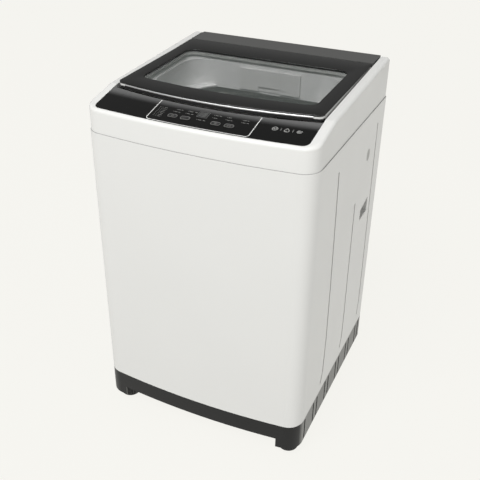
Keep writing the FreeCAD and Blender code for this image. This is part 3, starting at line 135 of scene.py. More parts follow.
@dataclass(frozen=True)
class Finish:
    """One real material and how its surface was made. Sizes are in millimetres."""

    name: str
    colour: str
    roughness: float
    metallic: float = 0.0
    ior: float = 1.5
    coat: float = 0.0
    coat_roughness: float = 0.05
    grain: float = 0.0
    grain_depth: float = 0.0
    lay: Lay = Lay.EVEN
    worn: str = ""
    worn_size: float = 60.0
    rough_spread: float = 0.0

    def start(self) -> Recipe:
        """Makes the material with its coordinates and shader."""
        material = bpy.data.materials.new(self.name)
        material.use_nodes = True
        tree = material.node_tree
        tree.nodes.clear()
        place = add_node(tree, "ShaderNodeTexCoord")
        shader = add_node(tree, "ShaderNodeBsdfPrincipled", {
            "Base Color": linear(self.colour), "Roughness": self.roughness, "Metallic": self.metallic,
            "IOR": self.ior, "Coat Weight": self.coat, "Coat Roughness": self.coat_roughness})
        add_node(tree, "ShaderNodeOutputMaterial", {"Surface": shader.outputs[0]})
        return Recipe(tree, place, shader)

    def tint(self, recipe: Recipe) -> None:
        """Lets colour and roughness drift slowly over the surface, as handling and moulding leave them.

        Args:
            recipe: The material in the making.
        """
        if not self.worn and not self.rough_spread:
            return
        drift = recipe.add("ShaderNodeTexNoise", {
            "Vector": recipe.place.outputs["Object"], "Scale": 1 / (self.worn_size * MM), "Detail": 4.0})
        if self.worn:
            mix = recipe.add("ShaderNodeMix", {
                0: drift.outputs[0], 6: linear(self.colour), 7: linear(self.worn)}, data_type="RGBA")
            recipe.feed(mix.outputs[2], "Base Color")
        if self.rough_spread:
            span = recipe.add("ShaderNodeMapRange", {
                0: drift.outputs[0], 1: 0.3, 2: 0.7,
                3: self.roughness - self.rough_spread, 4: self.roughness + self.rough_spread})
            recipe.feed(span.outputs[0], "Roughness")

    def roughen(self, recipe: Recipe) -> None:
        """Adds the fine relief of the surface as bump, spaced by the grain size.

        Args:
            recipe: The material in the making.
        """
        if not self.grain:
            return
        way = recipe.add("ShaderNodeMapping", {
            "Vector": recipe.place.outputs["Object"],
            "Scale": tuple(c / (self.grain * MM) for c in self.lay.value)})
        relief = recipe.add("ShaderNodeTexNoise", {"Vector": way.outputs[0], "Scale": 1.0, "Detail": 2.0})
        bump = recipe.add("ShaderNodeBump", {
            "Height": relief.outputs[0], "Distance": self.grain_depth * MM, "Strength": 1.0})
        recipe.feed(bump.outputs[0], "Normal")
        if self.coat:
            recipe.feed(bump.outputs[0], "Coat Normal")

    def dress(self, recipe: Recipe) -> None:
        """Gives the material everything but its start: colour, then relief."""
        self.tint(recipe)
        self.roughen(recipe)

    def material(self) -> bpy.types.Material:
        """Builds and returns the whole material."""
        self.dress(self.start())
        return bpy.data.materials[self.name]


@dataclass(frozen=True)
class ToughenedGlass(Finish):
    """Clear toughened soda-lime glass: bright reflections at a glance, plain sight through it square on."""

    tint_share: float = 0.03
    edge_share: float = 0.60

    def dress(self, recipe: Recipe) -> None:
        """Lets light through, the share of reflection growing towards a glancing view.

        Args:
            recipe: The material in the making.
        """
        glance = recipe.add("ShaderNodeFresnel", {"IOR": self.ior})
        share = recipe.add("ShaderNodeMapRange", {
            0: glance.outputs[0], 1: 0.04, 2: 1.0, 3: self.tint_share, 4: self.edge_share})
        recipe.feed(share.outputs[0], "Alpha")


@dataclass(frozen=True)
class GlossWithPaintedReflection(Finish):
    """Gloss panel with a band along its back edge that fades to grey, following the front bow: a painted
    reflection standing in for the paler sky that the panel's back reflects.
    """

    # Grey of the painted reflection along the back edge.
    band: str = "565656"
    bow_centre_y: float = 1.8304
    band_from: float = 2.0450
    band_to: float = 2.0200

    def dress(self, recipe: Recipe) -> None:
        """Fades the colour to the painted reflection's grey with the distance from the bow's centre.

        Args:
            recipe: The material in the making.
        """
        flat = recipe.add("ShaderNodeVectorMath", {
            0: recipe.place.outputs["Object"], 1: (1.0, 1.0, 0.0)}, operation="MULTIPLY")
        reach = recipe.add("ShaderNodeVectorMath", {
            0: flat.outputs[0], 1: (0.0, self.bow_centre_y, 0.0)}, operation="DISTANCE")
        fade = recipe.add("ShaderNodeMapRange", {
            0: reach.outputs["Value"], 1: self.band_from, 2: self.band_to, 3: 0.0, 4: 1.0},
            interpolation_type="SMOOTHSTEP")
        mix = recipe.add("ShaderNodeMix", {
            0: fade.outputs[0], 6: linear(self.colour), 7: linear(self.band)}, data_type="RGBA")
        recipe.feed(mix.outputs[2], "Base Color")
        self.roughen(recipe)


@dataclass(frozen=True)
class SideSheenPlastic(Finish):
    """Dark plastic whose flat sides are painted a paler grey than its front and corners: painted sheen
    standing in for the glancing reflection on the sides.
    """

    # Paler grey of the painted sheen on the flat sides.
    side_sheen: str = "6A6A67"
    side_sheen_from: float = 0.93
    side_sheen_to: float = 0.995

    def dress(self, recipe: Recipe) -> None:
        """Turns the colour to the painted sheen's paler grey where the surface faces squarely sideways.

        Args:
            recipe: The material in the making.
        """
        self.tint(recipe)
        skin = recipe.shader.inputs["Base Color"].links[0].from_socket
        facing = recipe.add("ShaderNodeNewGeometry", {})
        parts = recipe.add("ShaderNodeSeparateXYZ", {0: facing.outputs["True Normal"]})
        square = recipe.add("ShaderNodeMath", {0: parts.outputs[0]}, operation="ABSOLUTE")
        share = recipe.add("ShaderNodeMapRange", {
            0: square.outputs[0], 1: self.side_sheen_from, 2: self.side_sheen_to, 3: 0.0, 4: 1.0})
        mix = recipe.add("ShaderNodeMix", {
            0: share.outputs[0], 6: skin, 7: linear(self.side_sheen)}, data_type="RGBA")
        recipe.feed(mix.outputs[2], "Base Color")
        self.roughen(recipe)


@dataclass(frozen=True)
class LitFloor(Finish):
    """Matt opal sheet lit evenly from below, so that it stays pale with hardly a shadow."""

    glow: str = "F5F4EF"
    glow_strength: float = 0.972

    def dress(self, recipe: Recipe) -> None:
        """Lights the sheet."""
        recipe.shader.inputs["Emission Color"].default_value = linear(self.glow)
        recipe.shader.inputs["Emission Strength"].default_value = self.glow_strength


# Sheet steel, sprayed and baked: satin with a faint orange peel.
ENAMEL = Finish("white_enamelled_steel", "C5C5C3", 0.42, coat=0.25, coat_roughness=0.25,
                grain=2.4, grain_depth=0.012, worn="C2C2C0", worn_size=220.0, rough_spread=0.03)
# ABS out of a lightly spark-eroded mould: the same white, a little flatter.
WHITE_ABS = Finish("white_satin_abs", "C7C7C5", 0.46, grain=0.9, grain_depth=0.010,
                   worn="C4C4C2", worn_size=150.0, rough_spread=0.04)
# The same ABS from a polished mould, smoother, and made whiter than the outer ABS as painted light: the
# brighter colour stands in for light reaching the throat under the lid.
THROAT_PAINTED_LIGHT = Finish("white_abs_brightened_as_painted_light", "FAFAF9", 0.35, grain=1.2, grain_depth=0.006,
                    worn="F6F6F5", worn_size=120.0)
# Polypropylene blanking plugs, greyer than the sheet round them and darkened further as painted shade
# standing in for the shade in their recesses; the noise drifts to a paler grey.
PLUG_PAINTED_SHADE = Finish("grey_plug_with_painted_recess_shade", "8C8C89", 0.55, grain=0.8, grain_depth=0.02,
                 worn="A6A6A3", worn_size=12.0)
# A thin grey matt strip: painted shade along the seam under the top cover.
SEAM_SHADE = Finish("grey_painted_seam_shade", "8C8C8A", 0.80, grain=0.6, grain_depth=0.02)
# The enamel at the bottom of a pressed line, painted a darker grey as painted shade in the crease.
GROOVE_SHADE = Finish("painted_shade_in_pressed_lines", "8F8F8C", 0.55, grain=2.4, grain_depth=0.01,
                       worn="979794", worn_size=180.0)
# Polypropylene with a coarse mould grain that scatters light along edges; its flat sides are painted paler
# grey as painted sheen.
BLACK_PP = SideSheenPlastic("black_grained_polypropylene_with_painted_side_sheen", "0D0D0D", 0.40, ior=1.36, grain=1.1,
                          grain_depth=0.03, worn="141414", worn_size=90.0)
# ABS coloured through, from a finely textured mould: dark grey, even, faintly soft.
GREY_ABS = Finish("dark_grey_abs", "474746", 0.38, grain=0.8, grain_depth=0.012,
                  worn="4B4B4A", worn_size=120.0, rough_spread=0.04)
# ABS painted charcoal under clear lacquer: near black, with a soft sheen.
CHARCOAL = Finish("charcoal_lacquered_abs", "101010", 0.26, ior=1.45, grain=1.6,
                  grain_depth=0.004, worn="131313", worn_size=160.0)
# Cast acrylic over black ink: deep gloss, greyer along its back edge as a painted reflection.
PANEL_BLACK = GlossWithPaintedReflection("gloss_black_acrylic", "080808", 0.16, ior=1.40, grain=5.0, grain_depth=0.004)
# Small moulded keys, spark-eroded tops.
KEY_BLACK = Finish("satin_black_abs_keys", "121212", 0.28, grain=0.7, grain_depth=0.010,
                   worn="161616", worn_size=15.0)
# Smoked acrylic: black until something behind it is lit.
DISPLAY = Finish("smoked_acrylic_window", "0C0D0D", 0.10, coat=0.5, worn="101112", worn_size=20.0)
# Float glass, tempered: clear, with a green cast at its edge.
PANE = ToughenedGlass("toughened_soda_lime_glass", "5A5F5C", 0.03, ior=1.5)
# Chrome over satin-moulded ABS: a bright, slightly blurred line.
SILVER = Finish("satin_chromed_abs", "E6E6E6", 0.34, metallic=1.0, grain=0.6, grain_depth=0.004,
                lay=Lay.ACROSS)
# Cold-rolled stainless sheet, brushed round the drum.
STAINLESS = Finish("brushed_stainless_steel", "B9BABB", 0.28, metallic=1.0, grain=0.5, grain_depth=0.006,
                   lay=Lay.ACROSS, worn="AEB0B2", worn_size=70.0, rough_spread=0.05)
# Die-cast and shot-blasted: grey, dull, slightly pitted.
ALUMINIUM = Finish("die_cast_aluminium", "B5B6B8", 0.48, metallic=1.0, grain=1.4, grain_depth=0.03,
                   worn="A6A7A9", worn_size=40.0, rough_spread=0.06)
# Bright drawn bar, marked along its length.
STEEL = Finish("bright_drawn_steel", "A9AAAC", 0.26, metallic=1.0, grain=0.4, grain_depth=0.004,
               lay=Lay.UPRIGHT, worn="9C9DA0", worn_size=25.0)
# Hard drawn wire, oiled: dark with a thin shine.
SPRING = Finish("oiled_spring_wire", "5C5D60", 0.30, metallic=1.0, grain=0.5, grain_depth=0.005,
                worn="4C4D50", worn_size=12.0)
# Hot-dip zinc: cool grey, its spangle drawn at 9 mm so that it shows.
ZINC = Finish("galvanised_sheet_steel", "B4B7BA", 0.42, metallic=1.0, grain=9.0, grain_depth=0.008,
              worn="AEB1B4", worn_size=9.0, rough_spread=0.04)
# Zinc-plated and clear passivated.
SCREW = Finish("zinc_plated_screws", "C1C1BE", 0.30, metallic=1.0, grain=0.4, grain_depth=0.005,
               worn="B2B1AB", worn_size=3.0)
# Steel laminations dipped in black enamel.
MOTOR = Finish("black_enamelled_laminations", "222326", 0.40, grain=1.0, grain_depth=0.03,
               worn="2C2D30", worn_size=30.0, rough_spread=0.06)
# Undyed moulded nylon: cream, waxy.
NYLON = Finish("natural_nylon", "D9D6C8", 0.45, grain=0.9, grain_depth=0.01, worn="D2CEBE", worn_size=20.0)
# Moulded nitrile rubber: black, dry, matt.
RUBBER = Finish("nitrile_rubber", "1C1C1C", 0.72, grain=0.6, grain_depth=0.03, worn="242424", worn_size=12.0,
                rough_spread=0.06)
# Glass-filled polypropylene, uncoloured: milky and uneven.
TUB_PP = Finish("natural_polypropylene", "CFCFCA", 0.50, grain=1.4, grain_depth=0.02,
                worn="C7C7C1", worn_size=120.0, rough_spread=0.05)
# The same family, coloured light grey and smoother.
RING_PP = Finish("light_grey_polypropylene", "BFC1C2", 0.40, grain=1.0, grain_depth=0.01,
                 worn="B8BABB", worn_size=60.0)
# Moulded ABS worn smooth by laundry.
WASH_PLATE = Finish("grey_pulsator_abs", "A9ADB0", 0.36, grain=1.0, grain_depth=0.01,
                    worn="A2A6A9", worn_size=50.0)
# White ABS from a polished mould, always shaded by the lid, and made whiter than the outer ABS as painted
# light standing in for the dim light that reaches it.
DRAWER_PAINTED_LIGHT = Finish("white_abs_brightened_drawer", "F0F0EE", 0.30, grain=1.0, grain_depth=0.006,
                    worn="ECECEA", worn_size=60.0)


def screen_ink(name: str, colour: str, roughness: float) -> Finish:
    """Returns a screen-printed ink: a thin film with the mesh's half-millimetre print on it."""
    return Finish(name, colour, roughness, grain=0.5, grain_depth=0.004)


# Inks on the panel: silver for the border, dulled greys for the marks.
BORDER_INK = screen_ink("silver_screen_ink", "D2D2D0", 0.40)
LABEL_INK = screen_ink("dull_grey_screen_ink", "7C7C7A", 0.50)
SIGN_INK = screen_ink("pale_grey_screen_ink", "A2A2A0", 0.50)
KEY_INK = screen_ink("dark_grey_key_ink", "868684", 0.50)
DISPLAY_INK = screen_ink("smoke_grey_segment_ink", "606160", 0.45)
# Matt black sheets in the gap round the lid: painted shade standing in for the shadow in the gap.
SLOT_SHADE = Finish("matt_black_painted_slot_shade", "060606", 0.85, grain=0.5, grain_depth=0.04)
FLOOR = LitFloor("pale_backlit_acrylic_floor", "141414", 0.85)

SLOT_FINISH: dict[str, Finish] = {
    "white_enamel": ENAMEL, "white_plastic": WHITE_ABS, "black_plastic": BLACK_PP, "grey_plastic": GREY_ABS,
    "galvanised": ZINC, "zinc_screw": SCREW, "steel": STEEL, "spring_steel": SPRING, "motor_steel": MOTOR,
    "nylon": NYLON, "rubber": RUBBER, "gloss_black": PANEL_BLACK, "key_black": KEY_BLACK, "display": DISPLAY,
    "dark_glass": CHARCOAL, "clear_glass": PANE, "silver_trim": SILVER, "drawer_plastic": DRAWER_PAINTED_LIGHT,
    "tub_plastic": TUB_PP, "ring_plastic": RING_PP, "stainless": STAINLESS, "pulsator_plastic": WASH_PLATE,
    "aluminium": ALUMINIUM,
}

# Nodes whose finish differs from their slot's: the tray made whiter as painted light, the plugs made darker
# as painted shade.
NODE_FINISH: dict[str, Finish] = {"tray": THROAT_PAINTED_LIGHT, "side_plugs": PLUG_PAINTED_SHADE}


class Paintbox:
    """Builds each finish once and hands out its material."""

    def __init__(self) -> None:
        self.made: dict[str, bpy.types.Material] = {}

    def of(self, finish: Finish) -> bpy.types.Material:
        """Returns the material of a finish, made on first use."""
        if finish.name not in self.made:
            self.made[finish.name] = finish.material()
        return self.made[finish.name]


def dress_frame(paints: Paintbox) -> None:
    """Gives every CAD node the material of its slot.

    Args:
        paints: Where materials come from.
    """
    slots = {row["node"]: row["material_slot"] for row in frame["record"]["subparts"]}
    for node, piece in NODES.items():
        piece.data.materials.clear()
        piece.data.materials.append(paints.of(NODE_FINISH.get(node, SLOT_FINISH[slots[node]])))


# ---- plan and surface shapes, in millimetres ----
def mirrored(right: np.ndarray) -> np.ndarray:
    """Puts the left half of a run, mirrored, before its right half, which starts in the middle."""
    return np.concatenate([right[:0:-1] * [-1.0, 1.0], right])


HALF_WIDTH = 275.0
CROWN_Y = -278.0
BACK_Y = 274.0
BOW_RISE = 18.0
BOW = HALF_WIDTH ** 2 / (2 * BOW_RISE) + BOW_RISE / 2
BOW_CENTRE_Y = CROWN_Y + BOW
LID_TOP = 885.4
HINGE_Y = 198.0
HINGE_Z = 879.4
LID_SLOPE = 0.0289
LID_LEAN = math.atan(LID_SLOPE)
DECK_TOP = 864.4
PANEL_RIM = 10.0
PANEL_FRONT_Z = 845.0
PANEL_SLOPE = 0.22
PANEL_LEAN = math.atan(PANEL_SLOPE)
MERGE_REACH = 1e-5
FRONT_STEPS = 25
CORNER_STEPS = 10
SIDE_STEPS = 34
BACK_STEPS = 8


@dataclass(frozen=True)
class Plan:
    """Plan outline: straight sides and back, a front bowed outwards, round corners."""

    half: float
    front: float
    rear: float
    bow: float
    front_corner: float
    rear_corner: float

    def chain(self, inset: float = 0.0) -> np.ndarray:
        """Traces the right half of the outline from the front's middle to the back's middle.

        The bow is (b sin a, c - b cos a) up to the corner arc, which touches it and the straight side.

        Args:
            inset: Distance inside the outline.

        Returns:
            Points, one row each.
        """
        half = self.half - inset
        bow = self.bow - inset
        corner = max(self.front_corner - inset, 0.6)
        back = max(self.rear_corner - inset, 0.6)
        rear = self.rear - inset
        centre_y = self.front + self.bow
        arc_x = half - corner
        arc_y = centre_y - math.sqrt((bow - corner) ** 2 - arc_x ** 2)
        lean = math.atan2(arc_x, centre_y - arc_y)
        a = np.linspace(0, lean, FRONT_STEPS)
        t = np.linspace(lean - math.pi / 2, 0, CORNER_STEPS)[1:]
        side = np.linspace(arc_y, rear - back, SIDE_STEPS)[1:]
        u = np.linspace(0, math.pi / 2, BACK_STEPS)[1:]
        last = np.linspace(half - back, 0, BACK_STEPS)[1:]
        return np.concatenate([
            np.stack([bow * np.sin(a), centre_y - bow * np.cos(a)], 1),
            np.stack([arc_x + corner * np.cos(t), arc_y + corner * np.sin(t)], 1),
            np.stack([np.full_like(side, half), side], 1),
            np.stack([half - back + back * np.cos(u), rear - back + back * np.sin(u)], 1),
            np.stack([last, np.full_like(last, rear)], 1)])

    def loop(self, inset: float = 0.0) -> np.ndarray:
        """Returns the whole outline, anticlockwise from the front's middle."""
        right = self.chain(inset)
        left = right[-2:0:-1] * [-1.0, 1.0]
        return np.concatenate([right, left])

    def front_run(self, inset: float, past: int) -> np.ndarray:
        """Returns the open run over the front and some points past each of its bow's ends, left to right."""
        return mirrored(self.chain(inset)[:FRONT_STEPS + past])


BODY_PLAN = Plan(HALF_WIDTH, CROWN_Y, BACK_Y, BOW, 42.0, 12.0)
OPENING_PLAN = Plan(250.5, -268.0, 269.0, BOW - 10, 17.0, 4.0)
LID_PLAN = Plan(246.7, -182.0, 201.2, 1170.0, 14.0, 2.0)
WINDOW_PLAN = Plan(213.0, -126.0, 124.0, 1417.0, 22.0, 22.0)


def quads(rows: int, columns: int, rows_close: bool, columns_close: bool) -> np.ndarray:
    """Numbers the corners of a grid's cells, for points listed row by row.

    Args:
        rows: Rows of points.
        columns: Points in a row.
        rows_close: The last row joins the first.
        columns_close: Each row's last point joins its first.

    Returns:
        Four point numbers for each cell.
    """
    r = np.arange(rows if rows_close else rows - 1)[:, None]
    c = np.arange(columns if columns_close else columns - 1)[None, :]
    r1 = (r + 1) % rows
    c1 = (c + 1) % columns
    cells = [r * columns + c, r * columns + c1, r1 * columns + c1, r1 * columns + c]
    return np.stack(cells, -1).reshape(-1, 4)


def ring_faces(rows: int, columns: int) -> list:
    """Returns the faces of a closed ring: a closed section carried round a closed path."""
    return quads(rows, columns, True, True).tolist()


def bar_faces(rows: int, columns: int) -> list:
    """Returns the faces of a bar: a closed section carried along an open path, with its ends shut."""
    first = [r * columns for r in range(rows)]
    last = [r * columns + columns - 1 for r in reversed(range(rows))]
    return quads(rows, columns, True, False).tolist() + [first, last]


def tube_faces(rows: int, columns: int) -> list:
    """Returns the faces of a tube: closed rings of points in a row, with both ends shut."""
    count = rows * columns
    ends = [list(range(columns)), list(range(count - 1, count - columns - 1, -1))]
    return quads(rows, columns, False, True).tolist() + ends


def lean_lid(points: np.ndarray) -> np.ndarray:
    """Turns points about the hinge line by the lid's slope: y and z rotate about (hinge y, hinge z)."""
    y = points[:, 1] - HINGE_Y
    z = points[:, 2] - HINGE_Z
    turned_y = HINGE_Y + y * math.cos(LID_LEAN) - z * math.sin(LID_LEAN)
    turned_z = HINGE_Z + y * math.sin(LID_LEAN) + z * math.cos(LID_LEAN)
    return np.stack([points[:, 0], turned_y, turned_z], 1)


def at_height(plan: np.ndarray, z: float) -> np.ndarray:
    """Lifts plan points to one height."""
    return np.column_stack([plan, np.full(len(plan), z)])


def quarter(steps: int) -> np.ndarray:
    """Returns cosines and sines of a quarter turn, one row a step."""
    a = np.linspace(0, math.pi / 2, steps)
    return np.stack([np.cos(a), np.sin(a)], 1)


def flat_bar(one: np.ndarray, other: np.ndarray, high: float, low: float) -> np.ndarray:
    """Stacks a flat bar's four rows: two plan runs at its upper height, then the same two at its lower."""
    return np.concatenate([at_height(one, high), at_height(other, high),
                           at_height(other, low), at_height(one, low)])


def spin(profile: np.ndarray, x: float, y: float, steps: int) -> tuple[np.ndarray, list]:
    """Spins a profile about an upright axis: (x + r sin a, y + r cos a, z), with a all round in even steps.

    Args:
        profile: Rows of radius and height.
        x: Axis across the machine.
        y: Axis from front to back.
        steps: Steps in a full turn.

    Returns:
        Points and faces.
    """
    r, z = np.asarray(profile).T[:, :, None]
    a = np.arange(steps)[None, :] * math.tau / steps
    points = np.stack([x + r * np.sin(a), y + r * np.cos(a), z + 0 * a], -1).reshape(-1, 3)
    return points, quads(len(profile), steps, False, True).tolist()


@dataclass
class Heap:
    """Gathers shapes into the points and faces of one mesh."""

    points: list[np.ndarray] = field(default_factory=list)
    faces: list[list[int]] = field(default_factory=list)
    count: int = 0

    def add(self, points: np.ndarray, faces: list) -> None:
        """Appends one shape, its point numbers moved up past those before it."""
        self.points.append(points)
        self.faces.extend([[i + self.count for i in face] for face in faces])
        self.count += len(points)

    def all_points(self) -> np.ndarray:
        """Returns every point so far."""
        return np.concatenate(self.points)


def show(name: str, data: bpy.types.ID) -> bpy.types.Object:
    """Puts an object that holds the data in the scene."""
    thing = bpy.data.objects.new(name, data)
    bpy.context.scene.collection.objects.link(thing)
    return thing


@dataclass
class SubAssembly:
    """Pieces that are made together, and the paintbox their materials come from."""

    paints: Paintbox

    def piece(self, name: str, points: np.ndarray, faces: list, finish: Finish, body: str, slot: str,
              sharp: float = 30.0, merge: bool = False) -> bpy.types.Object:
        """Puts points in millimetres into a mesh, turns its faces outwards and rides it on a body.

        With no body named, the piece rides on no body.

        Args:
            name: Name of the piece.
            points: Points, one row each.
            faces: Point numbers of each face.
            finish: Its finish.
            body: Body it moves with, or nothing.
            slot: Material slot of the record.
            sharp: Edges sharper than this many degrees stay sharp.
            merge: Points in one place become one point.

        Returns:
            The object.
        """
        mesh = bpy.data.meshes.new(name)
        mesh.from_pydata((np.asarray(points) * MM).tolist(), [], faces)
        shell = bmesh.new()
        shell.from_mesh(mesh)
        if merge:
            bmesh.ops.remove_doubles(shell, verts=shell.verts, dist=MERGE_REACH)
        bmesh.ops.recalc_face_normals(shell, faces=shell.faces)
        shell.to_mesh(mesh)
        shell.free()
        mesh.shade_smooth()
        mesh.set_sharp_from_angle(angle=math.radians(sharp))
        mesh.materials.append(self.paints.of(finish))
        made = show(name, mesh)
        if body:
            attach(made, body)
        return made


# ---- control panel print ----
@dataclass
class Ink(Heap):
    """Thin raised strokes, drawn flat as (u, v, height)."""

    rise: float = 0.07
    sink: float = 0.03

    def stroke(self, path: np.ndarray, width: float, closed: bool = False) -> None:
        """Draws a line of even width: path points pushed half a width along their left normal each way.

        Args:
            path: Points of the line.
            width: Its width.
            closed: The line returns to its start.
        """
        path = np.asarray(path, dtype=float)
        if closed:
            run = np.roll(path, -1, 0) - np.roll(path, 1, 0)
        else:
            run = np.gradient(path, axis=0)
        run = run / np.linalg.norm(run, axis=1, keepdims=True)
        side = np.stack([-run[:, 1], run[:, 0]], 1) * width / 2
        n = len(path)
        self.add(flat_bar(path + side, path - side, self.rise, -self.sink),
                 ring_faces(4, n) if closed else bar_faces(4, n))

    def dot(self, u: float, v: float, radius: float) -> None:
        """Draws a round dot as an eight-sided disc."""
        a = np.linspace(0, 2 * math.pi, 9)[:-1]
        rim = np.stack([u + radius * np.cos(a), v + radius * np.sin(a)], 1)
        self.add(np.concatenate([at_height(rim, self.rise), at_height(rim, -self.sink)]), tube_faces(2, 8))


def round_box(u: float, v: float, long: float, wide: float, corner: float) -> np.ndarray:
    """Traces a rectangle with round corners, as a closed line: four quarter turns joined by its sides."""
    turn = quarter(6) * corner
    reach_u = long / 2 - corner
    reach_v = wide / 2 - corner
    first = turn + [reach_u, reach_v]
    second = first[::-1] * [-1, 1]
    third = first * [-1, -1]
    fourth = first[::-1] * [1, -1]
    return np.concatenate([first, second, third, fourth]) + [u, v]


def dash(u: float, v: float, long: float) -> np.ndarray:
    """Returns a short level line."""
    return np.stack([np.linspace(u - long / 2, u + long / 2, 4), np.full(4, v)], 1)


@dataclass
class PanelPrint(SubAssembly):
    """Printed marks of the control panel: border, key outlines, label bars, lamps and symbols.

    Places are (x, distance behind the front crown).
    """

    border_left: float = -112.0
    border_right: float = 125.0
    border_in: float = 13.5
    border_end: float = 86.0
    border_corner: float = 8.0
    border_width: float = 1.5
    key_x: tuple[float, ...] = (-59.0, -28.5, 42.0, 72.5)
    key_body: tuple[str, ...] = ("power_key", "program_key", "water_level_key", "start_key")
    key_in: float = 39.0
    key_long: float = 21.4
    key_wide: float = 12.4
    key_proud: float = 0.7
    symbol_x: tuple[float, ...] = (165.5, 190.5, 216.0)
    symbol_in: float = 55.0
    display: tuple[float, float] = (3.0, 62.0)
    lamp_u: tuple[float, ...] = (-101.5, -95.5)
    lamp_v: tuple[float, ...] = (62.0, 56.5, 51.0, 45.5, 40.0, 34.5, 29.0)
    lamp_label_u: float = -87.5
    bars: tuple[tuple[float, float, float], ...] = (
        (-53.5, 64.0, 15.0), (-57.0, 55.0, 17.0), (-22.5, 65.0, 22.0), (-27.0, 56.0, 18.0),
        (7.5, 42.0, 20.0), (35.0, 67.0, 17.0), (32.0, 57.5, 11.0), (61.0, 67.0, 10.0),
        (64.0, 58.0, 15.0), (99.0, 66.0, 14.0), (100.0, 57.5, 17.0))
    label_line: float = 1.1
    sign_line: float = 0.9
    key_line: float = 0.6

    def on_panel(self, points: np.ndarray) -> np.ndarray:
        """Bends flat marks onto the panel: y follows the bow at that distance in, z climbs with it."""
        x, inward, lift = points.T
        y = BOW_CENTRE_Y - np.sqrt((BOW - inward) ** 2 - x ** 2)
        z = PANEL_FRONT_Z + PANEL_SLOPE * (inward - PANEL_RIM) + lift
        return np.stack([x, y, z], 1)

    def on_key(self, points: np.ndarray, x: float) -> np.ndarray:
        """Leans flat marks drawn about a key's centre onto its top: a turn about X by the panel's slope."""
        u, v, lift = points.T
        w = lift + self.key_proud
        y = CROWN_Y + self.key_in + x * x / (2 * BOW) + v * math.cos(PANEL_LEAN) - w * math.sin(PANEL_LEAN)
        centre_z = PANEL_FRONT_Z + PANEL_SLOPE * (self.key_in - PANEL_RIM)
        z = centre_z + v * math.sin(PANEL_LEAN) + w * math.cos(PANEL_LEAN)
        return np.stack([x + u, y, z], 1)

    def border(self) -> np.ndarray:
        """Traces the U-shaped border: down the left side, along the front, up the right side."""
        turn = quarter(8) * self.border_corner
        low = self.border_in + self.border_corner
        left = np.linspace(self.border_end, low, 12)[:-1]
        right = np.linspace(low, self.border_end, 12)[1:]
        first = np.stack([self.border_left + self.border_corner - turn[:, 0], low - turn[:, 1]], 1)
        last = np.stack([self.border_right - self.border_corner + turn[:, 1], low - turn[:, 0]], 1)
        floor = np.linspace(first[-1, 0], last[0, 0], 30)[1:-1]
        return np.concatenate([
            np.stack([np.full(len(left), self.border_left), left], 1), first,
            np.stack([floor, np.full(len(floor), self.border_in)], 1), last,
            np.stack([np.full(len(right), self.border_right), right], 1)])

    def labels(self, ink: Ink) -> None:
        """Draws the label bars over the keys and beside the display, and the two columns of lamps."""
        for u, v, long in self.bars:
            ink.dot(u - long / 2, v, 0.75)
            ink.stroke(dash(u - long / 2 + 2.4 + long * 0.2, v, long * 0.4), self.label_line)
            ink.stroke(dash(u + long * 0.34, v, long * 0.26), self.label_line)
        for row, v in enumerate(self.lamp_v):
            for u in self.lamp_u:
                ink.dot(u, v, 0.8)
            ink.stroke(dash(self.lamp_label_u, v, 7.0 + 2.0 * (row % 2)), self.sign_line)

    def symbols(self, ink: Ink) -> None:
        """Draws three plain symbols, a drum, a drop and a swirl, with thin bars between them."""
        drum, drop, swirl = self.symbol_x
        v = self.symbol_in
        a = np.linspace(0, 2 * math.pi, 25)[:-1]
        circle = np.stack([np.cos(a), np.sin(a)], 1)
        ink.stroke(circle * 5.6 + [drum, v], 1.0, True)
        wave = np.stack([np.linspace(-4, 4, 13), 1.2 * np.sin(np.linspace(0, 9.4, 13)) - 1], 1)
        ink.stroke(wave + [drum, v], self.sign_line)
        ink.dot(drum - 2.4, v + 2.2, 0.8)
        ink.dot(drum + 1.8, v + 2.6, 0.8)
        taper = np.stack([np.cos(a) * (4.4 - 2.4 * np.sin(a)), 5.8 * np.sin(a) - 0.4], 1)
        ink.stroke(taper + [drop, v], 1.0, True)
        ink.stroke(np.stack([drop + 2.0 * np.cos(a[14:20]), v - 1.4 + 2.4 * np.sin(a[14:20])], 1), 0.8)
        coil = np.linspace(0, 4.2 * math.pi, 46)
        reach = 1.0 + coil * 0.36
        ink.stroke(np.stack([swirl + reach * np.cos(coil), v + reach * np.sin(coil)], 1), self.sign_line)
        for u in ((drum + drop) / 2, (drop + swirl) / 2):
            ink.stroke(np.stack([np.full(4, u), np.linspace(v - 5, v + 5, 4)], 1), 0.5)

    def key_mark(self, ink: Ink, which: int) -> None:
        """Draws a key's outline and its own sign: ring and bar, steps, level lines, arrow and bars."""
        ink.stroke(round_box(0, 0, self.key_long - 1.6, self.key_wide - 1.6, 3.8), 0.8, True)
        if which == 0:
            a = np.linspace(math.radians(120), math.radians(420), 22)
            ink.stroke(np.stack([2.3 * np.cos(a), 2.3 * np.sin(a)], 1), self.key_line)
            ink.stroke(np.stack([np.zeros(4), np.linspace(0.6, 3.2, 4)], 1), self.key_line)
        elif which == 1:
            for step in range(3):
                ink.stroke(dash(-3.2 + 3.2 * step, -1.6 + 1.6 * step, 2.4), 0.7)
        elif which == 2:
            for step in range(3):
                ink.stroke(dash(0, -2.2 + 2.2 * step, 3.4 + 1.7 * step), self.key_line)
        else:
            ink.stroke(np.array([[-3.6, -2.2], [-3.6, 2.2], [-0.4, 0.0]]), self.key_line, True)
            for u in (1.6, 3.6):
                ink.stroke(np.stack([np.full(4, u), np.linspace(-2.2, 2.2, 4)], 1), 0.7)

    def lay(self, name: str, ink: Ink, finish: Finish, slot: str) -> None:
        """Makes one printed piece on the panel."""
        self.piece(name, self.on_panel(ink.all_points()), ink.faces, finish, "machine", slot)

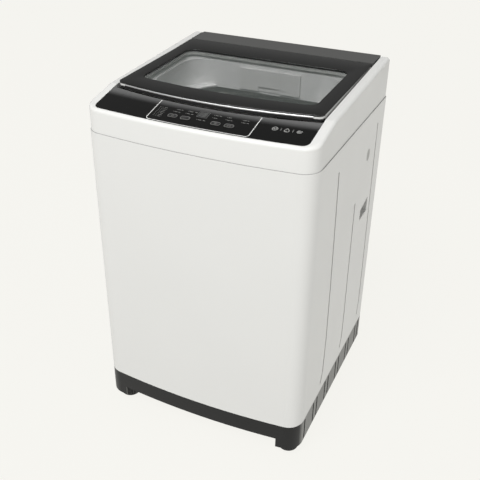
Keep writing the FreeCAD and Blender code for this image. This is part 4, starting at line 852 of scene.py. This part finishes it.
    def build(self) -> None:
        """Makes the printed pieces of the panel, its display and its keys."""
        border, marks, signs, lit = Ink(), Ink(), Ink(), Ink(rise=0.12)
        border.stroke(self.border(), self.border_width)
        self.lay("panel_border", border, BORDER_INK, "gloss_black")
        self.labels(marks)
        self.lay("panel_labels", marks, LABEL_INK, "gloss_black")
        self.symbols(signs)
        self.lay("panel_symbols", signs, SIGN_INK, "gloss_black")
        u, v = self.display
        lit.stroke(round_box(u, v, 23.4, 20.4, 1.6), 0.8, True)
        for step in (-6.0, -2.0, 2.0, 6.0):
            lit.stroke(dash(u, v + step, 18.0), 1.5)
        self.lay("display_bars", lit, DISPLAY_INK, "display")
        for which, (x, body) in enumerate(zip(self.key_x, self.key_body)):
            mark = Ink()
            self.key_mark(mark, which)
            points = self.on_key(mark.all_points(), x)
            self.piece(body + "_mark", points, mark.faces, KEY_INK, body, "key_black")
        log.info("panel print: border, labels, symbols, display bars and %d key marks", len(self.key_x))


# ---- lid ----
@dataclass
class Lid(SubAssembly):
    """Dark plate of the lid with softened edges, its silver strip, and black bands on its front lip and on
    the slot's deck that are painted shade.
    """

    plate_thick: float = 2.4
    edge_round: float = 1.5
    window_round: float = 0.8
    round_steps: int = 5
    strip_proud: float = 0.2
    strip_bulge: float = 0.9
    strip_deep: float = 2.6
    strip_top: float = 1.0
    strip_tall: float = 5.0
    strip_half: float = 226.0
    lip_bottom: float = 14.0
    lip_gap: float = 0.25
    reveal_gap: float = 0.05
    band_face: float = 0.1
    band_back: float = 0.78
    lining_thick: float = 0.4
    lining_lift: float = 0.1
    lining_gap: float = 0.5
    lining_under: float = 9.0
    lining_front: float = -197.4
    lining_rear: float = 183.0

    def plate(self) -> None:
        """Lofts the plate: outline, rounded edge, flat top, rounded window edge and back underneath."""
        turn = quarter(self.round_steps)
        rows = [at_height(LID_PLAN.loop(), LID_TOP - self.plate_thick)]
        for c, s in turn:
            inset = self.edge_round * (1 - c)
            rows.append(at_height(LID_PLAN.loop(inset), LID_TOP - self.edge_round * (1 - s)))
        for c, s in turn:
            inset = -self.window_round * (1 - s)
            rows.append(at_height(WINDOW_PLAN.loop(inset), LID_TOP - self.window_round * (1 - c)))
        rows.append(at_height(WINDOW_PLAN.loop(), LID_TOP - self.plate_thick))
        points = lean_lid(np.concatenate(rows))
        plate = self.piece("lid_plate", points, ring_faces(len(rows), len(rows[0])),
                           CHARCOAL, "lid", "dark_glass", 40.0)
        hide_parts("lid_bezel")

    def strip(self) -> None:
        """Carries a crowned section along the lid's front: it bulges by the proud height, as a half sine."""
        top = LID_TOP - self.plate_thick - self.strip_top
        across = np.linspace(0, 1, 9)
        crown = -self.strip_proud - self.strip_bulge * np.sin(across * math.pi)
        rows = [at_height(self.clip(LID_PLAN.front_run(inset, 0)), top - self.strip_tall * share)
                for inset, share in zip(crown, across)]
        back = self.clip(LID_PLAN.front_run(self.strip_deep, 0))
        rows += [at_height(back, top - self.strip_tall), at_height(back, top)]
        points = lean_lid(np.concatenate(rows))
        strip = self.piece("lid_silver_strip", points, bar_faces(len(rows), len(rows[0])),
                           SILVER, "lid", "silver_trim", 50.0)
        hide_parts("lid_trim")

    def clip(self, run: np.ndarray) -> np.ndarray:
        """Scales a front run in X so that it ends at the strip's ends."""
        share = self.strip_half / run[-1, 0]
        x = run[:, 0] * share
        sag = run[:, 0] ** 2 / (2 * LID_PLAN.bow)
        return np.stack([x, run[:, 1] - sag + x ** 2 / (2 * LID_PLAN.bow)], 1)

    def band(self, name: str, high: float, low: float) -> None:
        """Wraps a black band, painted shade, round the lid's front and corners, between two depths under its
        top.

        Args:
            name: Name of the piece.
            high: Depth of its upper edge.
            low: Depth of its lower edge.
        """
        face = LID_PLAN.front_run(self.band_face, CORNER_STEPS - 1)
        back = LID_PLAN.front_run(self.band_back, CORNER_STEPS - 1)
        points = lean_lid(flat_bar(face, back, LID_TOP - high, LID_TOP - low))
        self.piece(name, points, bar_faces(4, len(face)), SLOT_SHADE, "lid", "black_plastic")

    def lining(self) -> None:
        """Lays a black sheet on the deck as painted shade in the slot, from the opening's wall to under the
        lid's edge.
        """
        count = FRONT_STEPS + CORNER_STEPS + SIDE_STEPS - 3
        outer = OPENING_PLAN.chain(self.lining_gap)[:count]
        inner = LID_PLAN.chain(self.lining_under)[:count]
        outer[:, 1] = np.clip(outer[:, 1], self.lining_front, self.lining_rear)
        inner[:, 1] = np.minimum(inner[:, 1], self.lining_rear)
        low = DECK_TOP + self.lining_lift
        points = flat_bar(mirrored(outer), mirrored(inner), low + self.lining_thick, low)
        self.piece("slot_shade_sheet", lean_lid(points), bar_faces(4, 2 * count - 1),
                   SLOT_SHADE, "machine", "black_plastic")

    def build(self) -> None:
        """Makes the lid's own pieces."""
        self.plate()
        self.strip()
        strip_top = self.plate_thick + self.strip_top
        self.band("lid_front_lip_shade", strip_top + self.strip_tall + self.lip_gap, self.lip_bottom)
        self.band("lid_front_reveal_shade", self.plate_thick + self.reveal_gap, strip_top - self.reveal_gap)
        self.lining()
        log.info("lid: plate, silver strip, black lip and slot lining")


# ---- sides of the cabinet ----
@dataclass
class SideLines(SubAssembly):
    """Painted shade on the bottoms of the pressed lines in the two side walls."""

    width: float = 5.2
    depth: float = 2.6
    lift: float = 0.05
    drop: float = 0.03
    steps: int = 12
    routes: tuple[tuple[tuple[float, float], ...], ...] = (
        ((-105.0, 731.0), (-99.0, 612.0), (-91.5, 444.0), (-86.5, 259.0), (-91.5, 157.0), (-104.0, 129.0)),
        ((61.0, 576.0), (64.0, 400.0), (67.0, 240.0), (66.0, 160.0), (55.7, 131.6)),
        ((206.0, 736.0), (212.0, 500.0), (220.0, 300.0), (222.0, 180.0), (214.3, 139.6)),
    )

    def path(self, route: tuple[tuple[float, float], ...]) -> np.ndarray:
        """Divides each run of a route evenly: a point a share t along is (1 - t) start + t end."""
        knots = np.array(route)
        place = np.linspace(0, len(knots) - 1, (len(knots) - 1) * self.steps + 1)
        number = np.arange(len(knots))
        return np.stack([np.interp(place, number, knots[:, 0]), np.interp(place, number, knots[:, 1])], 1)

    def build(self) -> None:
        """Lays a thin darker skin, painted shade, on each pressed line's bottom."""
        for side, word in ((-1, "left"), (1, "right")):
            skin = Ink(rise=self.lift, sink=self.drop)
            for route in self.routes:
                skin.stroke(self.path(route), self.width)
            y, z, out = skin.all_points().T
            x = side * (HALF_WIDTH - self.depth + out)
            self.piece("pressed_line_shade_" + word, np.stack([x, y, z], 1), skin.faces,
                       GROOVE_SHADE, "machine", "white_enamel")
        log.info("side walls: %d pressed lines each", len(self.routes))


@dataclass
class SeamShadeStrip(SubAssembly):
    """Soft grey strip round the foot of the top cover, where it stands on the cabinet's edge: painted shade
    along the seam.
    """

    seam_z: float = 788.0
    face_inset: float = 0.8
    back_inset: float = 1.96
    lift: float = 0.02
    tall: float = 1.1

    def build(self) -> None:
        """Lofts the strip: two outlines of the body, its face half as tall as its back."""
        low = self.seam_z + self.lift
        outer = BODY_PLAN.loop(self.face_inset)
        inner = BODY_PLAN.loop(self.back_inset)
        rows = [at_height(outer, low), at_height(outer, low + self.tall * 0.5),
                at_height(inner, low + self.tall), at_height(inner, low)]
        self.piece("cover_seam_shade_strip", np.concatenate(rows), ring_faces(4, len(outer)),
                   SEAM_SHADE, "machine", "white_plastic")
        log.info("seam strip under the cover")


# ---- wash basket ----
@dataclass
class Basket(SubAssembly):
    """Rolled stainless basket with rows of holes, a folded rim and a dished floor."""

    radius: float = 226.0
    sheet: float = 1.0
    axis_y: float = 2.0
    floor_z: float = 232.0
    holes_from: float = 286.0
    holes_to: float = 678.0
    top_z: float = 722.0
    across: int = 96
    rows: int = 28
    hole: float = 1.9
    hole_sides: int = 8
    hub: float = 52.0
    low_bead: float = 2.2
    high_bead: float = 2.0

    def wall(self) -> tuple[np.ndarray, list]:
        """Lays out one cell round each hole and wraps the sheet into a drum.

        In a cell, eight points stand on its square border and eight on the hole's circle, and eight
        quads join them. x = R sin a and y = R cos a, with a the distance round over the drum's radius and
        R the middle of the sheet.

        Returns:
            Points and faces, the cells' shared borders not yet merged.
        """
        column = 2 * math.pi / self.across
        pitch = (self.holes_to - self.holes_from) / self.rows
        sides = self.hole_sides
        turn = np.arange(sides) * math.tau / sides
        border = np.stack([np.sign(np.round(np.cos(turn), 6)), np.sign(np.round(np.sin(turn), 6))], 1) / 2
        ring = np.stack([np.cos(turn), np.sin(turn)], 1) * self.hole
        arc = border[:, 0] * column
        rise = border[:, 1] * pitch
        cell_arc = np.concatenate([arc, ring[:, 0] / self.radius])
        cell_rise = np.concatenate([rise, ring[:, 1]])
        across, up = np.meshgrid(np.arange(self.across), np.arange(self.rows))
        angle = across.reshape(-1, 1) * column + cell_arc[None, :]
        z = self.holes_from + (up.reshape(-1, 1) + 0.5) * pitch + cell_rise[None, :]
        r = self.radius - self.sheet / 2
        points = np.stack([r * np.sin(angle), self.axis_y + r * np.cos(angle), z], -1).reshape(-1, 3)
        k = np.arange(sides)
        cell = np.stack([k, (k + 1) % sides, sides + (k + 1) % sides, sides + k], 1)
        faces = (np.arange(self.across * self.rows)[:, None, None] * 2 * sides + cell[None]).reshape(-1, 4)
        return points, faces.tolist()

    def build(self) -> None:
        """Makes the basket as one thin sheet and gives it its thickness."""
        r = self.radius - self.sheet / 2
        floor = self.floor_z + self.sheet / 2
        foot = self.floor_z
        bead = r - self.low_bead
        low = [(self.hub, floor), (r - 60, floor), (r - 18, floor), (r - 9, foot + 2.4),
               (r - 3.5, foot + 7.5), (r, foot + 18), (r, foot + 30), (bead, foot + 34),
               (bead, foot + 40), (r, foot + 44), (r, self.holes_from)]
        top = self.holes_to
        bead = r - self.high_bead
        high = [(r, top), (r, top + 10), (bead, top + 14), (bead, top + 20), (r, top + 24), (r, self.top_z)]
        sheet = Heap()
        sheet.add(*self.wall())
        for profile in (low, high):
            sheet.add(*spin(np.array(profile), 0.0, self.axis_y, self.across * 2))
        drum = self.piece("basket_drum", sheet.all_points(), sheet.faces, STAINLESS, "basket", "stainless",
                          35.0, merge=True)
        wall = drum.modifiers.new("sheet", "SOLIDIFY")
        wall.thickness = self.sheet * MM
        wall.offset = 0.0
        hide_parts("wash_basket")
        log.info("basket: %d holes", self.across * self.rows)


# ---- springs and bellows under the tub ----
@dataclass
class Flexing(SubAssembly):
    """Suspension springs and drain bellows, made as pieces tied to no body."""

    coil_radius: float = 16.0
    wire: float = 2.2
    wire_sides: int = 10
    turns: int = 7
    turn_steps: int = 24
    folds: int = 5
    fold_deep: float = 2.2
    fold_steps: int = 12
    wall_steps: int = 48

    def coil(self, x: float, y: float, low: float, high: float) -> tuple[np.ndarray, list]:
        """Carries a round wire along a helix about an upright axis.

        With u the angle turned, r = R + w cos v and z = low + w + (high - low - 2 w) u / (2 pi n) + w sin v,
        where v goes round the wire.

        Args:
            x: Axis across the machine.
            y: Axis from front to back.
            low: Underside of the spring.
            high: Top of the spring.

        Returns:
            Points and faces.
        """
        rows = self.turn_steps * self.turns + 1
        u = np.linspace(0.0, math.tau * self.turns, rows)[:, None]
        v = np.arange(self.wire_sides)[None, :] * math.tau / self.wire_sides
        r = self.coil_radius + self.wire * np.cos(v)
        z = low + self.wire + (high - low - 2 * self.wire) * u / u[-1] + self.wire * np.sin(v)
        points = np.stack([x + r * np.cos(u), y + r * np.sin(u), z], -1).reshape(-1, 3)
        return points, tube_faces(rows, self.wire_sides)

    def bellows(self, radius: float, low: float, high: float) -> np.ndarray:
        """Returns a waved profile: r = R - d (1 + cos(2 pi n t)) / 2 at a share t of the height."""
        t = np.linspace(0.0, 1.0, self.fold_steps * self.folds + 1)
        r = radius - self.fold_deep * (1 + np.cos(math.tau * self.folds * t)) / 2
        return np.stack([r, low + (high - low) * t], 1)

    def hang(self, piece: bpy.types.Object, node: str, low: float, high: float) -> None:
        """Bakes a piece's placement into its mesh and hides the CAD node it stands for."""
        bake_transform(piece)
        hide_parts(node)

    def build(self) -> None:
        """Makes the four springs as one piece and the bellows as another."""
        least, most = (np.array(corner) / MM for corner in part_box("suspension_springs"))
        reach = self.coil_radius + self.wire
        coils = Heap()
        for x in (least[0] + reach, most[0] - reach):
            for y in (least[1] + reach, most[1] - reach):
                coils.add(*self.coil(x, y, least[2], most[2]))
        springs = self.piece("coil_springs", coils.all_points(), coils.faces, SPRING,
                             "", "spring_steel", 60.0)
        self.hang(springs, "suspension_springs", least[2], most[2])

        least, most = (np.array(corner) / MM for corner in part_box("drain_bellows"))
        middle = (least + most) / 2
        profile = self.bellows(most[0] - middle[0], least[2], most[2])
        points, _ = spin(profile, middle[0], middle[1], self.wall_steps)
        gaiter = self.piece("drain_gaiter", points, tube_faces(len(profile), self.wall_steps), RUBBER,
                            "", "rubber", 60.0)
        self.hang(gaiter, "drain_bellows", least[2], most[2])
        log.info("springs and bellows: they shorten as the tub sinks")


# ---- camera, light and floor ----
@dataclass(frozen=True)
class Lamp:
    """Rectangular soft light: its place and aim, its width and height, and its watts."""

    name: str
    at: tuple[float, float, float]
    aim: tuple[float, float, float]
    size: tuple[float, float]
    power: float

    def hang(self) -> None:
        """Hangs the light in the scene, facing its aim."""
        data = bpy.data.lights.new(self.name, "AREA")
        data.shape = "RECTANGLE"
        data.size, data.size_y = self.size
        data.energy = self.power
        beam = np.array(self.aim) - np.array(self.at)
        beam = beam / np.linalg.norm(beam)
        side = np.cross(beam, [0.0, 0.0, 1.0])
        side = side / np.linalg.norm(side)
        stand(data, side, np.cross(side, beam), -beam, self.at)


def stand(data: bpy.types.ID, right: np.ndarray, upward: np.ndarray, back: np.ndarray,
          at: tuple[float, float, float]) -> bpy.types.Object:
    """Puts a camera or a light in the scene, turned to three axes.

    Args:
        data: The camera or light.
        right: Its own X axis.
        upward: Its own Y axis.
        back: Its own Z axis, away from what it faces.
        at: Its place.

    Returns:
        The object.
    """
    thing = show(data.name, data)
    columns = np.eye(4)
    columns[:3] = np.stack([right, upward, back, at], 1)
    thing.matrix_world = Matrix(columns.tolist())
    return thing


@dataclass
class Studio(SubAssembly):
    """Plain soft studio: pale floor, even sky, broad lights and the camera. Sizes are in metres."""

    camera_at: tuple[float, float, float] = (0.6657, -1.4841, 1.3996)
    yaw: float = 0.42546
    pitch: float = 0.53527
    roll: float = 0.01413
    focal: float = 718.06 / 480
    sensor: float = 36.0
    sight: float = 60.0
    floor_half: float = 14.0
    sky: str = "F6F6F4"
    sky_front: float = 0.40
    sky_rear: float = 0.24
    sky_turns: tuple[float, float] = (-0.7, 0.35)
    lamps: tuple[Lamp, ...] = (
        Lamp("key", (-0.7, -4.0, 5.7), (0.0, 0.0, 0.6), (3.0, 3.0), 545.0),
        Lamp("side_fill", (3.4, -0.5, 1.7), (0.27, 0.0, 0.5), (2.0, 2.0), 42.0),
    )

    def camera(self) -> None:
        """Places the camera: yaw about Z, then pitch down, then roll about the line of sight."""
        away = np.array([-math.sin(self.yaw) * math.cos(self.pitch),
                         math.cos(self.yaw) * math.cos(self.pitch), -math.sin(self.pitch)])
        level = np.array([math.cos(self.yaw), math.sin(self.yaw), 0.0])
        rise = np.cross(level, away)
        right = level * math.cos(self.roll) + rise * math.sin(self.roll)
        upward = rise * math.cos(self.roll) - level * math.sin(self.roll)
        data = bpy.data.cameras.new("camera")
        data.sensor_width = self.sensor
        data.lens = self.focal * self.sensor
        data.clip_end = self.sight
        bpy.context.scene.camera = stand(data, right, upward, -away, self.camera_at)

    def floor(self) -> None:
        """Lays the pale floor."""
        h = self.floor_half
        mesh = bpy.data.meshes.new("floor")
        mesh.from_pydata([(-h, -h, 0.0), (h, -h, 0.0), (h, h, 0.0), (-h, h, 0.0)], [], [(0, 1, 2, 3)])
        mesh.materials.append(self.paints.of(FLOOR))
        show("floor", mesh)

    def heaven(self) -> None:
        """Makes the sky: its strength goes smoothly from front to rear with the direction's Y."""
        world = bpy.data.worlds.new("studio")
        bpy.context.scene.world = world
        world.use_nodes = True
        tree = world.node_tree
        tree.nodes.clear()
        way = add_node(tree, "ShaderNodeTexCoord")
        parts = add_node(tree, "ShaderNodeSeparateXYZ", {0: way.outputs["Generated"]})
        first, last = self.sky_turns
        level = add_node(tree, "ShaderNodeMapRange", {
            0: parts.outputs[1], 1: first, 2: last, 3: self.sky_front, 4: self.sky_rear},
            interpolation_type="SMOOTHSTEP")
        sky = add_node(tree, "ShaderNodeBackground", {
            "Color": linear(self.sky), "Strength": level.outputs[0]})
        add_node(tree, "ShaderNodeOutputWorld", {"Surface": sky.outputs[0]})

    def build(self) -> None:
        """Sets the sky, the floor, the lights and the camera."""
        bpy.context.scene.view_settings.view_transform = "Standard"
        self.heaven()
        self.floor()
        for lamp in self.lamps:
            lamp.hang()
        self.camera()
        log.info("studio ready")


# ---- the machine ----
def main() -> None:
    """Builds the sub-assemblies in order and reports each."""
    logging.basicConfig(level=logging.INFO, format="%(name)s: %(message)s")
    paints = Paintbox()
    dress_frame(paints)
    log.info("%d CAD nodes dressed", len(NODES))
    for group in (PanelPrint, Lid, SideLines, SeamShadeStrip, Basket, Flexing, Studio):
        group(paints).build()


if __name__ == "__main__":
    main()
